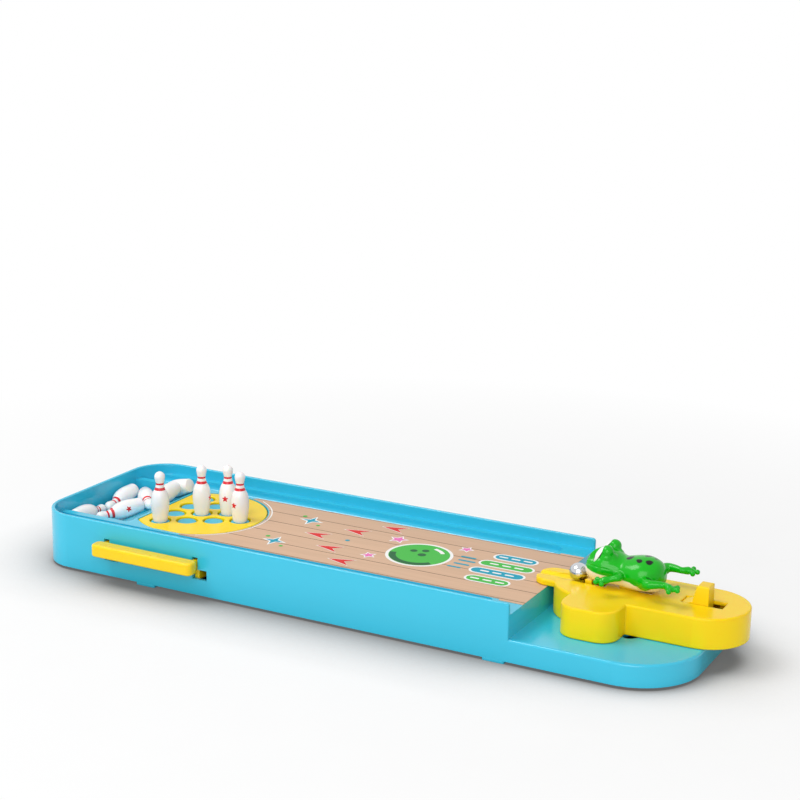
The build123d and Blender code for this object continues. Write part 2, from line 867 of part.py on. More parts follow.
# Launcher housing
with BuildPart() as launcher_housing:
    with BuildSketch(launcher_level(housing_bottom)):
        add(launcher_outline(0))
    extrude(amount=launcher_height - housing_bottom)
    with BuildSketch(launcher_level(launcher_height)):
        with Locations((snout_corner_radius - snout_reach / 2, 0)):
            RectangleRounded(snout_reach + 2 * snout_corner_radius, snout_width, snout_corner_radius)
    extrude(amount=-snout_thickness)
    fillet(launcher_housing.edges().group_by(Axis.Z)[-1], housing_edge_radius)
    with BuildSketch(launcher_level(housing_bottom)):
        add(launcher_outline(shell))
    extrude(amount=ceiling - housing_bottom, mode=Mode.SUBTRACT)
    # rib under the groove, and bosses for the base's screws
    rib_end = pocket_start + shell
    with BuildSketch(launcher_level(ceiling)):
        with Locations((-(rib_end + window_front) / 2, 0)):
            Rectangle(rib_end - window_front, groove_rib_width)
        add(launcher_outline(shell / 2), mode=Mode.INTERSECT)
    extrude(amount=-groove_rib_depth)
    with BuildSketch(launcher_level(base_top)):
        with Locations(*housing_boss_places):
            Circle(housing_boss_radius)
    extrude(amount=ceiling - base_top)
    with BuildSketch(launcher_level(base_top)):
        with Locations(*housing_boss_places):
            Circle(screw_radius + running_gap)
    extrude(amount=screw_bite, mode=Mode.SUBTRACT)
    # groove, its wide pocket and the slots
    with BuildSketch(cross_plane(pivot_x - window_front + overrun, ball_level)):
        Circle(ball_radius + running_gap)
    extrude(amount=-snout_reach - overrun, mode=Mode.SUBTRACT)
    with BuildSketch(launcher_level(launcher_height - pocket_depth)):
        with BuildLine():
            Polyline(
                (-window_front + overrun, pocket_width / 2),
                (-pocket_full, pocket_width / 2),
                (-pocket_start, pocket_width / 3),
                (-pocket_start, -pocket_width / 3),
                (-pocket_full, -pocket_width / 2),
                (-window_front + overrun, -pocket_width / 2),
                close=True,
            )
        make_face()
    extrude(amount=pocket_depth + overrun, mode=Mode.SUBTRACT)
    with BuildSketch(launcher_level(launcher_height)):
        with Locations(((window_back - window_front) / 2, 0)):
            RectangleRounded(window_back + window_front, window_width, shell / 3)
        with Locations((frog_post_centre + slide_travel / 2, 0)):
            Rectangle(post_length + slide_travel + 2 * slot_gap, post_width + 2 * slot_gap)
        with Locations((tab_front + (tab_length + slide_travel) / 2, 0)):
            Rectangle(tab_length + slide_travel + 2 * slot_gap, tab_width + 2 * slot_gap)
    extrude(amount=-snout_thickness - overrun, mode=Mode.SUBTRACT)
launcher_housing.part.label = "launcher_housing"
export_step(launcher_housing.part, "parts/launcher_housing.step")


# Launcher base with its hub, guide boss, rails and spring stop
with BuildPart() as launcher_base:
    with BuildSketch(launcher_level(housing_bottom)):
        add(launcher_outline(shell + base_gap))
    extrude(amount=base_thickness)
    with BuildSketch(launcher_level(housing_bottom)):
        Circle(hub_radius)
        with Locations((guide_offset, 0)):
            Circle(guide_radius)
    extrude(amount=hub_bottom - housing_bottom)
    with BuildSketch(launcher_level(base_top)):
        rail_y = (slide_width + rail_thickness) / 2 + rest_gap
        with Locations(
            ((slide_end + hammer_front) / 2, rail_y),
            ((slide_end + hammer_front) / 2, -rail_y),
        ):
            Rectangle(slide_end - hammer_front, rail_thickness)
        with Locations((spring_stop_reach + spring_stop_thickness / 2, 0)):
            Rectangle(spring_stop_thickness, spring_stop_width)
    extrude(amount=rail_height)
    with BuildSketch(launcher_level(base_top)):
        with Locations(*housing_boss_places):
            Circle(screw_radius + screw_gap)
    extrude(amount=-base_thickness, mode=Mode.SUBTRACT)
    with BuildSketch(launcher_level(housing_bottom)):
        with Locations(*housing_boss_places):
            Circle(screw_head_radius + screw_gap)
    extrude(amount=screw_head_height, mode=Mode.SUBTRACT)
    with BuildSketch(launcher_level(hub_bottom)):
        with Locations((0, 0), (guide_offset, 0)):
            Circle(turn_screw_radius + running_gap)
    extrude(amount=turn_screw_bite, mode=Mode.SUBTRACT)
launcher_base.part.label = "launcher_base"
export_step(launcher_base.part, "parts/launcher_base.step")


# Five screws that hold the base in the housing
with BuildPart() as housing_screws:
    with BuildSketch(launcher_level(housing_bottom)):
        with Locations(*housing_boss_places):
            Circle(screw_head_radius)
    extrude(amount=screw_head_height)
    with BuildSketch(launcher_level(housing_bottom)):
        with Locations(*housing_boss_places):
            Circle(screw_radius)
    extrude(amount=base_thickness + screw_bite - rest_gap)
housing_screws.part.label = "housing_screws"
export_step(housing_screws.part, "parts/housing_screws.step")


# Washer and screw that hold the hub in the apron
with BuildPart() as hub_washer:
    with BuildSketch(launcher_level(hub_bottom)):
        Circle(hub_washer_radius)
        Circle(turn_screw_radius + screw_gap, mode=Mode.SUBTRACT)
    extrude(amount=-washer_thickness)
hub_washer.part.label = "hub_washer"
export_step(hub_washer.part, "parts/hub_washer.step")

with BuildPart() as hub_screw:
    with BuildSketch(launcher_level(hub_bottom - washer_thickness)):
        Circle(turn_head_radius)
    extrude(amount=-turn_head_height)
    with BuildSketch(launcher_level(hub_bottom - washer_thickness)):
        Circle(turn_screw_radius)
    extrude(amount=washer_thickness + turn_screw_bite - rest_gap)
hub_screw.part.label = "hub_screw"
export_step(hub_screw.part, "parts/hub_screw.step")


# Washer and screw that hold the guide boss in the curved slot
with BuildPart() as guide_washer:
    with BuildSketch(launcher_level(hub_bottom)):
        with Locations((guide_offset, 0)):
            Circle(guide_washer_radius)
            Circle(turn_screw_radius + screw_gap, mode=Mode.SUBTRACT)
    extrude(amount=-washer_thickness)
guide_washer.part.label = "guide_washer"
export_step(guide_washer.part, "parts/guide_washer.step")

with BuildPart() as guide_screw:
    with BuildSketch(launcher_level(hub_bottom - washer_thickness)):
        with Locations((guide_offset, 0)):
            Circle(turn_head_radius)
    extrude(amount=-turn_head_height)
    with BuildSketch(launcher_level(hub_bottom - washer_thickness)):
        with Locations((guide_offset, 0)):
            Circle(turn_screw_radius)
    extrude(amount=washer_thickness + turn_screw_bite - rest_gap)
guide_screw.part.label = "guide_screw"
export_step(guide_screw.part, "parts/guide_screw.step")


# Striker slider: a bar with a hammer, the frog's post, a finger tab and a tail
with BuildPart() as striker_slider:
    with BuildSketch(launcher_level(slide_bottom)):
        with Locations(((slide_end + hammer_front) / 2, 0)):
            Rectangle(slide_end - hammer_front, slide_width)
    extrude(amount=slide_height)
    with BuildSketch(launcher_level(slide_top)):
        with Locations((slide_end + slide_roof_length / 2 - overrun / 2, 0)):
            Rectangle(slide_roof_length + overrun, slide_width)
    extrude(amount=-slide_roof_thickness)
    with BuildSketch(launcher_level(slide_top)):
        with Locations((hammer_front + hammer_length / 2, 0)):
            Rectangle(hammer_length, hammer_width)
    extrude(amount=hammer_top - slide_top)
    with BuildSketch(launcher_level(slide_top)):
        with Locations((frog_post_centre, 0)):
            Rectangle(post_length, post_width)
    extrude(amount=launcher_height + post_socket_depth - slide_top)
    with BuildSketch(side_plane(pivot_x)):
        with BuildLine():
            foot_level = launcher_height + tab_foot_rise
            ramp_start = tab_front + tab_foot_length
            ramp_end = ramp_start + tab_ramp_length
            Polyline(
                (tab_front, slide_top),
                (tab_front, launcher_height - tab_sink),
                (ramp_start, foot_level),
                (ramp_end, launcher_height + tab_rise),
                (ramp_end + tab_top_length, launcher_height + tab_rise),
                (ramp_end + tab_top_length, slide_top),
                close=True,
            )
        make_face()
    extrude(amount=tab_width / 2, both=True)
    fillet(striker_slider.edges().group_by(Axis.Z)[-1], tab_edge_radius)
    with BuildSketch(launcher_level(slide_bottom)):
        with Locations((frog_post_centre, 0)):
            Circle(frog_screw_radius + screw_gap)
    extrude(amount=launcher_height + post_socket_depth - slide_bottom, mode=Mode.SUBTRACT)
    with BuildSketch(launcher_level(slide_bottom)):
        with Locations((frog_post_centre, 0)):
            Circle(screw_head_radius + screw_gap)
    extrude(amount=screw_head_height, mode=Mode.SUBTRACT)
striker_slider.part.label = "striker_slider"
export_step(striker_slider.part, "parts/striker_slider.step")


# Striker spring
with BuildPart() as striker_spring:
    coil_start = pin_end_x + pivot_x + slide_end
    coil_foot = Vector(coil_start, lane_y, striker_spring_level)
    with BuildSketch(Plane(origin=coil_foot, x_dir=(0, 1, 0), z_dir=(0, 0, -1))):
        add(coil_profile(striker_spring_radius, spring_stop_reach - slide_end, striker_spring_turns))
    revolve(axis=Axis(coil_foot, (1, 0, 0)))
striker_spring.part.label = "striker_spring"
export_step(striker_spring.part, "parts/striker_spring.step")


# Steel ball
with BuildPart() as steel_ball:
    with Locations(Location((pin_end_x + pivot_x - ball_reach, lane_y, ball_level))):
        Sphere(ball_radius)
steel_ball.part.label = "steel_ball"
export_step(steel_ball.part, "parts/steel_ball.step")


def frog_bulk():
    """Body and head of the frog in one smooth shape."""
    with BuildPart() as bulk:
        for along, up, half_height, half_width in frog_section_shares:
            centre = frog_point((along, 0, up))
            with BuildSketch(Plane(origin=centre, x_dir=(0, 1, 0), z_dir=(1, 0, 0))):
                Ellipse(half_width * frog_length, half_height * frog_length)
        loft()
    return bulk.part


def frog_lower_region():
    """Everything below the seam between the frog's halves."""
    corners = [(frog_point((along, 0, up)).X, frog_point((along, 0, up)).Z) for along, up in frog_seam_shares]
    with BuildPart() as region:
        with BuildSketch(Plane(origin=(0, lane_y, 0), x_dir=(1, 0, 0), z_dir=(0, -1, 0))):
            with BuildLine():
                Polyline(*corners, (corners[-1][0], slide_top), (corners[0][0], slide_top), close=True)
            make_face()
        extrude(amount=frog_length / 2, both=True)
    return region.part


def frog_rod(start, end, radius):
    """Round rod between two points with a ball on its far end."""
    with BuildPart() as rod:
        with BuildSketch(Plane(origin=start, z_dir=end - start)):
            Circle(radius)
        extrude(amount=(end - start).length)
        with Locations(Location(end)):
            Sphere(radius)
    return rod.part


def frog_limb(joint_shares, tip_shares, side):
    """One arm or leg with its three fingers or toes."""
    joints = [frog_point(shares, side) for shares in joint_shares]
    with BuildPart() as limb:
        for start, end in zip(joints, joints[1:]):
            add(frog_rod(start, end, limb_radius_share * frog_length))
        for shares in tip_shares:
            tip = frog_point(shares, side)
            add(frog_rod(joints[-1], tip, toe_radius_share * frog_length))
            with Locations(Location(tip)):
                Sphere(toe_tip_radius_share * frog_length)
    return limb.part


# Lower half of the frog, which sits on the slider's post
with BuildPart() as frog_belly:
    add(frog_bulk())
    add(frog_lower_region(), mode=Mode.INTERSECT)
    with BuildSketch(launcher_level(slide_top)):
        with Locations((frog_post_centre, 0)):
            Rectangle(post_length + 2 * running_gap, post_width + 2 * running_gap)
    extrude(amount=launcher_height + post_socket_depth - slide_top, mode=Mode.SUBTRACT)
    with BuildSketch(launcher_level(launcher_height)):
        with Locations((frog_post_centre, 0)):
            Circle(frog_screw_radius + screw_gap)
    extrude(amount=frog_length, mode=Mode.SUBTRACT)
frog_belly.part.label = "frog_belly"
export_step(frog_belly.part, "parts/frog_belly.step")


# Upper half of the frog with its eyes and limbs
with BuildPart() as frog_body:
    add(frog_bulk())
    add(frog_lower_region(), mode=Mode.SUBTRACT)
    for side in (-1, 1):
        with Locations(Location(frog_point(brow_shares, side))):
            Sphere(brow_radius_share * frog_length)
        with Locations(Location(frog_point(eye_shares, side))):
            Sphere(eye_radius_share * frog_length)
        add(frog_limb(arm_shares, finger_shares, side))
        add(frog_limb(leg_shares, toe_shares, side))
    with BuildSketch(launcher_level(frog_seam_level - overrun)):
        with Locations((frog_post_centre, 0)):
            Circle(frog_screw_radius + running_gap)
    extrude(amount=frog_screw_bite + overrun, mode=Mode.SUBTRACT)
frog_body.part.label = "frog_body"
export_step(frog_body.part, "parts/frog_body.step")


# Screw through the post into the frog
with BuildPart() as frog_screw:
    with BuildSketch(launcher_level(slide_bottom)):
        with Locations((frog_post_centre, 0)):
            Circle(screw_head_radius)
    extrude(amount=screw_head_height)
    with BuildSketch(launcher_level(slide_bottom)):
        with Locations((frog_post_centre, 0)):
            Circle(frog_screw_radius)
    extrude(amount=frog_seam_level + frog_screw_bite - rest_gap - slide_bottom)
frog_screw.part.label = "frog_screw"
export_step(frog_screw.part, "parts/frog_screw.step")


def resting_lift(x, heading, tilt):
    """Height of a lying pin's belly axis, so that it rests on the catcher's floor."""
    needed = []
    for height_share, radius_share in pin_profile_shares:
        along = (height_share - belly_height_share) * pin_height
        reach = x + along * cos(tilt) * cos(heading)
        radius = radius_share * belly_radius
        needed.append(pit_floor + radius * cos(tilt) - along * sin(tilt))
        across_slope = cos(pit_slope) * sin(tilt) - sin(pit_slope) * cos(tilt) * cos(heading)
        slope_level = pit_floor + (reach - pit_flat_end) * tan(pit_slope)
        needed.append(
            slope_level + radius * sqrt(1 - across_slope**2) / cos(pit_slope) - along * sin(tilt)
        )
    return max(needed) + lying_gap


def make_pin(name, foot, axis):
    """One pin, turned about its axis from the middle of its foot."""
    across = Vector(0, 1, 0) if abs(axis.Z) > abs(axis.Y) else Vector(0, 0, 1)
    side = axis.cross(across).normalized()
    with BuildPart() as pin:
        with BuildSketch(Plane(origin=foot, x_dir=side, z_dir=side.cross(axis))):
            with BuildLine():
                profile = [
                    (radius * belly_radius, height * pin_height) for height, radius in pin_profile_shares
                ]
                Line((0, 0), profile[0])
                Spline(*profile, (0, pin_height), tangents=((0, 1), (-1, 0)))
                Line((0, pin_height), (0, 0))
            make_face()
        revolve(axis=Axis(foot, axis))
    pin.part.label = name
    export_step(pin.part, f"parts/{name}.step")


# Pins that stand in the setter plate's holes
for number, place in enumerate(standing_pins, 1):
    hole = hole_places[place]
    make_pin(
        f"pin_{number}",
        Vector(pin_end_x + hole[0], lane_y + hole[1], pad_top),
        Vector(0, 0, 1),
    )

# Pins that lie in the catcher
for number, shares in enumerate(lying_pin_shares, len(standing_pins) + 1):
    belly_x = wall + shares[0] * pin_height
    heading = radians(shares[2])
    tilt = radians(shares[3])
    belly = Vector(
        pin_end_x + belly_x,
        lane_y + shares[1] * pin_height,
        resting_lift(belly_x, heading, tilt),
    )
    axis = Vector(cos(tilt) * cos(heading), cos(tilt) * sin(heading), sin(tilt))
    make_pin(f"pin_{number}", belly - axis * (belly_height_share * pin_height), axis)
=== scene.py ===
import math
import random

import bmesh
import bpy
import numpy as np
from mathutils import Matrix, Vector


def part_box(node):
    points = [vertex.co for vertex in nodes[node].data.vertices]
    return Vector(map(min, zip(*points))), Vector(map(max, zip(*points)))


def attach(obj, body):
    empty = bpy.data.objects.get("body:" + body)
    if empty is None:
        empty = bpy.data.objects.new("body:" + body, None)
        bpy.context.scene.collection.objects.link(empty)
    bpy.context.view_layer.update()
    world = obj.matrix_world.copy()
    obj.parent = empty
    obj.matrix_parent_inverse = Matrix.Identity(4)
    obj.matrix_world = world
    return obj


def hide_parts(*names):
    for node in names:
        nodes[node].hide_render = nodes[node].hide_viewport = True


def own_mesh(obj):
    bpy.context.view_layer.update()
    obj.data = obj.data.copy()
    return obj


bl_info = {
    "name": "Tabletop Bowling Game",
    "version": (1, 0, 0),
    "blender": (4, 5, 0),
    "location": "3D View > Sidebar > Bowling",
    "description": "Dresses the tabletop bowling game with its plastics, print, pins, ball and frog",
    "category": "Object",
}

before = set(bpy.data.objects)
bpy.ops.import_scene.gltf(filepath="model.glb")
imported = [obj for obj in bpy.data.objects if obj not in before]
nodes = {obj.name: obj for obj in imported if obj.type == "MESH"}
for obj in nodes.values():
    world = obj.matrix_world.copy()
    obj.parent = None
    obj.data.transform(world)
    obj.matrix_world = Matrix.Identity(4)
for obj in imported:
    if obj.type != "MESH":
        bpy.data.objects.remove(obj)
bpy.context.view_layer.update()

MM = 0.001
LANE_Y = 5.25
PIN_END_X = -195.175
PIVOT_X = PIN_END_X + 312.0
LAUNCHER_TOP = 29.0
PRINT_TOP = 25.6
PRINT_STEP = 0.04


def on_lane(x, y, z):
    """Point in metres from millimetres along the lane, across it and up."""
    return Vector(((PIN_END_X + x) * MM, (LANE_Y + y) * MM, z * MM))


def on_launcher(u, y, z):
    """Point in metres from millimetres behind the hub, across and up."""
    return Vector(((PIVOT_X + u) * MM, (LANE_Y + y) * MM, z * MM))


def linear(colour):
    """Linear colour with alpha from an 8-bit screen colour."""
    parts = [c / 255 for c in colour]
    return tuple(c / 12.92 if c <= 0.04045 else ((c + 0.055) / 1.055) ** 2.4 for c in parts) + (1.0,)


# Sizes and colours that a user can change


def colour_property(name, description, default):
    """Colour setting, its default given as an 8-bit screen colour."""
    return bpy.props.FloatVectorProperty(
        name=name, description=description, subtype="COLOR", size=4, min=0, max=1, default=linear(default)
    )


def length_property(name, description, default):
    """Length setting, its default given in millimetres."""
    return bpy.props.FloatProperty(
        name=name, description=description, unit="LENGTH", subtype="DISTANCE", min=0, default=default * MM
    )


def power_property(name, description, default):
    """Lamp power setting in watts."""
    return bpy.props.FloatProperty(name=name, description=description, unit="POWER", min=0, default=default)


class PlasticSettings(bpy.types.PropertyGroup):
    """Colours and finish of the moulded parts."""

    blue: colour_property("Tray blue", "Colour of the tray, its cover and the pads", (55, 192, 223))
    yellow: colour_property("Launcher yellow", "Colour of the launcher, the plate and the handle", (255, 212, 18))
    green: colour_property("Frog green", "Colour of the frog's back", (4, 180, 16))
    cream: colour_property("Frog cream", "Colour of the frog's belly", (250, 240, 222))
    roughness: bpy.props.FloatProperty(
        name="Roughness", description="Roughness of the polished plastic", min=0.05, max=1.0, default=0.27
    )


class PrintSettings(bpy.types.PropertyGroup):
    """Colours and sizes of the lane's printed sheet."""

    wood: colour_property("Wood", "Colour of the printed planks", (219, 182, 152))
    line: colour_property("Plank line", "Colour of the lines between planks", (92, 62, 44))
    arrow: colour_property("Arrow red", "Colour of the lane arrows", (222, 43, 40))
    leaf: colour_property("Print green", "Green of the printed shapes", (72, 186, 72))
    sea: colour_property("Print blue", "Blue of the printed shapes", (26, 160, 186))
    pink: colour_property("Print pink", "Pink of the printed shapes", (238, 122, 190))
    plank: length_property("Plank width", "Width of one printed plank", 15.0)


class PinSettings(bpy.types.PropertyGroup):
    """Shape and colours of the pins."""

    white: colour_property("Pin white", "Colour of the pins", (247, 245, 245))
    stripe: colour_property("Stripe red", "Colour of the printed stripes", (222, 40, 52))
    height: length_property("Pin height", "Height of one pin", 28.8)
    belly: length_property("Belly radius", "Largest radius of a pin", 5.1)
    segments: bpy.props.IntProperty(name="Segments", description="Faces round one pin", min=16, max=128, default=56)


class FrogSettings(bpy.types.PropertyGroup):
    """Sizes of the frog figure."""

    grain: length_property("Sculpt grain", "Size of the voxels the figure is sculpted in", 0.36)
    limb: length_property("Limb radius", "Radius of the frog's arms", 1.9)
    toe: length_property("Toe radius", "Radius of fingers and toes", 1.05)


class StageSettings(bpy.types.PropertyGroup):
    """Light and camera of the studio."""

    key: power_property("Key light", "Power of the main softbox", 14.0)
    fill: power_property("Fill light", "Power of the fill softbox", 15.5)
    sky: bpy.props.FloatProperty(
        name="Room light", description="Strength of the even light of the room", min=0, default=0.44
    )
    lens: bpy.props.FloatProperty(name="Lens", description="Focal length in millimetres", min=10, default=79.32)


# Material building


def set_sockets(node, values):
    """Set a node's sockets by their names."""
    for name, value in values.items():
        node.inputs[name].default_value = value


def bare_material(name):
    """Node material with nothing but its output."""
    material = bpy.data.materials.new(name)
    material.use_nodes = True
    tree = material.node_tree
    tree.nodes.clear()
    return material, tree, tree.nodes.new("ShaderNodeOutputMaterial")


def new_material(name):
    """Material with one principled shader and its node tree."""
    material, tree, output = bare_material(name)
    shader = tree.nodes.new("ShaderNodeBsdfPrincipled")
    tree.links.new(shader.outputs["BSDF"], output.inputs["Surface"])
    return material, tree, shader


def noise_of(tree, scale, detail, stretch=(1, 1, 1), roughness=0.55):
    """Noise over the piece's own coordinates, optionally stretched."""
    where = tree.nodes.new("ShaderNodeTexCoord")
    mapping = tree.nodes.new("ShaderNodeMapping")
    set_sockets(mapping, {"Scale": stretch})
    noise = tree.nodes.new("ShaderNodeTexNoise")
    set_sockets(noise, {"Scale": scale, "Detail": detail, "Roughness": roughness})
    tree.links.new(where.outputs["Object"], mapping.inputs["Vector"])
    tree.links.new(mapping.outputs["Vector"], noise.inputs["Vector"])
    return noise.outputs["Fac"]


def mapped(tree, value, low, high, from_low=0.0, from_high=1.0):
    """Value spread to a new range."""
    node = tree.nodes.new("ShaderNodeMapRange")
    set_sockets(node, {"From Min": from_low, "From Max": from_high, "To Min": low, "To Max": high})
    tree.links.new(value, node.inputs["Value"])
    return node.outputs["Result"]


def feed(tree, socket, value):
    """Link a socket to another node's output, or set it to a plain value."""
    if hasattr(value, "is_output"):
        tree.links.new(value, socket)
    else:
        socket.default_value = value


def mixed(tree, factor, first, second, blend="MIX"):
    """Colour mix. The factor and both colours are sockets or plain values."""
    node = tree.nodes.new("ShaderNodeMix")
    node.data_type = "RGBA"
    node.blend_type = blend
    feed(tree, node.inputs["Factor"], factor)
    feed(tree, node.inputs["A"], first)
    feed(tree, node.inputs["B"], second)
    return node.outputs["Result"]


def computed(tree, operation, *values):
    """Result of one step of arithmetic on sockets or plain numbers."""
    node = tree.nodes.new("ShaderNodeMath")
    node.operation = operation
    for socket, value in zip(node.inputs, values):
        feed(tree, socket, value)
    return node.outputs["Value"]


def bumped(tree, shader, height, strength, distance):
    """Fine relief, given as a height, on a shader's normal."""
    bump = tree.nodes.new("ShaderNodeBump")
    set_sockets(bump, {"Strength": strength, "Distance": distance})
    tree.links.new(height, bump.inputs["Height"])
    tree.links.new(bump.outputs["Normal"], shader.inputs["Normal"])
    return bump


def shaded(colour, share):
    """Colour made lighter or darker by a share."""
    return tuple(min(1.0, c * share) for c in colour[:3]) + (1.0,)


def moulded_plastic(name, colour, roughness, coat=0.0, glow=0.0, edge=0.0006, mottle=0.012, shine=0.3):
    """Polished moulded plastic: faint flow marks, scuffs, a soft orange peel, rounded edges and a painted highlight
    on sharp edges.
    """
    material, tree, shader = new_material(name)
    flow = mapped(tree, noise_of(tree, 24, 2), 0, 1, 0.3, 0.7)
    base = mixed(tree, flow, shaded(colour, 1 - mottle), shaded(colour, 1 + mottle))
    edges = tree.nodes.new("ShaderNodeNewGeometry").outputs["Pointiness"]
    # Painted highlight: sharp convex edges, found by their pointiness, are made lighter
    edge_highlight = mapped(tree, edges, 0, 0.35, 0.52, 0.6)
    tree.links.new(mixed(tree, edge_highlight, base, shaded(colour, 1.25)), shader.inputs["Base Color"])
    scuff = mapped(tree, noise_of(tree, 60, 2), roughness * 0.97, roughness * 1.05, 0.35, 0.7)
    tree.links.new(scuff, shader.inputs["Roughness"])
    peel = bumped(tree, shader, noise_of(tree, 180, 1), 0.008, 0.0002)
    if edge:
        rounded = tree.nodes.new("ShaderNodeBevel")
        rounded.samples = 16
        set_sockets(rounded, {"Radius": edge})
        tree.links.new(rounded.outputs["Normal"], peel.inputs["Normal"])
    set_sockets(shader, {"IOR": 1.5, "Specular IOR Level": shine})
    if coat:
        set_sockets(shader, {"Coat Weight": coat, "Coat Roughness": 0.12})
    if glow:
        set_sockets(shader, {"Subsurface Weight": glow, "Subsurface Scale": 0.0025})
    return material


PRINT_GLOSS = {"IOR": 1.45, "Specular IOR Level": 0.22}


def printed_ink(name, colour):
    """Satin ink on the laminated sheet, with a faint halftone mottle."""
    material, tree, shader = new_material(name)
    dots = noise_of(tree, 2200, 1)
    soft = noise_of(tree, 60, 3)
    tone = mapped(tree, dots, 0, 0.6, 0.3, 0.7)
    base = mixed(tree, tone, shaded(colour, 0.94), shaded(colour, 1.05))
    base = mixed(tree, mapped(tree, soft, 0, 0.35), base, shaded(colour, 1.1))
    tree.links.new(base, shader.inputs["Base Color"])
    tree.links.new(mapped(tree, soft, 0.46, 0.58), shader.inputs["Roughness"])
    set_sockets(shader, PRINT_GLOSS)
    return material


def polished_steel(name, colour, roughness, scratch):
    """Ground and polished steel with fine scratches."""
    material, tree, shader = new_material(name)
    streak = noise_of(tree, 900, 4, (1, 1, 0.12), 0.7)
    cloud = mapped(tree, noise_of(tree, 120, 3), 0, 1, 0.3, 0.7)
    base = mixed(tree, cloud, shaded(linear(colour), 0.88), linear(colour))
    tree.links.new(base, shader.inputs["Base Color"])
    tree.links.new(mapped(tree, streak, roughness, roughness + scratch, 0.45, 0.75), shader.inputs["Roughness"])
    set_sockets(shader, {"Metallic": 1.0})
    bumped(tree, shader, streak, 0.05, 0.00005)
    return material


def plank_print(name, wood, line, plank):
    """Printed planks: a tone for each plank, long grain and thin lines between them."""
    material, tree, shader = new_material(name)
    where = tree.nodes.new("ShaderNodeTexCoord").outputs["Object"]
    parts = tree.nodes.new("ShaderNodeSeparateXYZ")
    tree.links.new(where, parts.inputs["Vector"])
    first_plank = LANE_Y * MM - plank * 10.5
    across = computed(tree, "DIVIDE", computed(tree, "SUBTRACT", parts.outputs["Y"], first_plank), plank)
    within = computed(tree, "FRACT", across)
    tone = tree.nodes.new("ShaderNodeTexWhiteNoise")
    tone.noise_dimensions = "1D"
    tree.links.new(computed(tree, "FLOOR", across), tone.inputs["W"])
    grain = noise_of(tree, 60, 5, (0.12, 5, 1), 0.65)
    fleck = noise_of(tree, 500, 3, (0.08, 2, 1), 0.6)
    base = mixed(tree, mapped(tree, tone.outputs["Value"], 0, 1), shaded(wood, 0.93), shaded(wood, 1.04))
    base = mixed(tree, mapped(tree, grain, 0, 0.5, 0.42, 0.75), base, shaded(wood, 0.82))
    base = mixed(tree, mapped(tree, fleck, 0, 0.25, 0.5, 0.8), base, shaded(wood, 0.7))
    near_edge = computed(tree, "MINIMUM", within, computed(tree, "SUBTRACT", 1.0, within))
    drawn = mapped(tree, near_edge, 1, 0, 0.012, 0.022)
    tree.links.new(mixed(tree, drawn, base, line), shader.inputs["Base Color"])
    tree.links.new(mapped(tree, fleck, 0.46, 0.58), shader.inputs["Roughness"])
    bumped(tree, shader, noise_of(tree, 300, 2), 0.08, 0.0001)
    set_sockets(shader, PRINT_GLOSS)
    return material


def frog_skin(name):
    """Glossy paint in the colours held by the figure's colour attribute."""
    material, tree, shader = new_material(name)
    paint = tree.nodes.new("ShaderNodeVertexColor")
    paint.layer_name = "paint"
    cloud = mapped(tree, noise_of(tree, 90, 4), 0, 0.35, 0.35, 0.75)
    darker = mixed(tree, 1.0, paint.outputs["Color"], (0.72, 0.8, 0.72, 1), "MULTIPLY")
    tree.links.new(mixed(tree, cloud, paint.outputs["Color"], darker), shader.inputs["Base Color"])
    tree.links.new(mapped(tree, noise_of(tree, 500, 3), 0.16, 0.3), shader.inputs["Roughness"])
    bumped(tree, shader, noise_of(tree, 330, 2), 0.15, 0.0002)
    set_sockets(shader, {"Specular IOR Level": 0.2, "Coat Weight": 0.25, "Coat Roughness": 0.06})
    return material


# Mesh building


def linked(name, data):
    """New object with the given data, linked to the scene."""
    piece = bpy.data.objects.new(name, data)
    bpy.context.scene.collection.objects.link(piece)
    return piece


def mesh_object(name, vertices, faces, materials, smooth=True, face_slots=None):
    """Object from points in metres and faces, linked to the scene."""
    mesh = bpy.data.meshes.new(name)
    mesh.from_pydata([tuple(v) for v in vertices], [], faces)
    for material in materials:
        mesh.materials.append(material)
    if face_slots:
        mesh.polygons.foreach_set("material_index", face_slots)
    mesh.polygons.foreach_set("use_smooth", [smooth] * len(mesh.polygons))
    mesh.validate()
    return linked(name, mesh)


def axes_round(direction):
    """Unit vector along a direction and two more at right angles to it."""
    up = direction.normalized()
    across = up.cross(Vector((0, 1, 0)) if abs(up.y) < 0.8 else Vector((0, 0, 1))).normalized()
    return up, across, up.cross(across)


def ring_faces(first, count):
    """Faces between a ring of points, which starts at first, and the next ring."""
    faces = []
    for i in range(count):
        a, b = first + i, first + (i + 1) % count
        faces.append((a, b, b + count, a + count))
    return faces


def finish_piece(piece, body, slot, *replaced):
    """Seat a piece on its body and hide the nodes it stands for. The finish it is given is not used."""
    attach(piece, body)
    if replaced:
        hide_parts(*replaced)


def dress(material, *names):
    """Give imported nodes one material."""
    for name in names:
        node = nodes[name]
        node.data.materials.clear()
        node.data.materials.append(material)


def smooth_through(points, steps):
    """Points of a smooth curve through the given ones."""
    padded = [points[0]] + list(points) + [points[-1]]
    curve = []
    for i in range(len(padded) - 3):
        for s in range(steps):
            t = s / steps
            curve.append(
                tuple(
                    0.5 * (2 * b + (c - a) * t + (2 * a - 5 * b + 4 * c - d) * t * t + (3 * b - a - 3 * c + d) * t**3)
                    for a, b, c, d in zip(*padded[i : i + 4])
                )
            )
    curve.append(tuple(points[-1]))
    return curve


def flat_shapes(name, outlines, height, material):
    """Printed shapes on the lane. Each outline is a list of lane points in millimetres."""
    mesh = bmesh.new()
    for outline in outlines:
        corners = [mesh.verts.new(on_lane(x, y, height)) for x, y in outline]
        face = mesh.faces.new(corners)
        face.normal_update()
        if face.normal.z < 0:
            face.normal_flip()
    bmesh.ops.triangulate(mesh, faces=mesh.faces[:])
    data = bpy.data.meshes.new(name)
    mesh.to_mesh(data)
    mesh.free()
    data.materials.append(material)
    return linked(name, data)


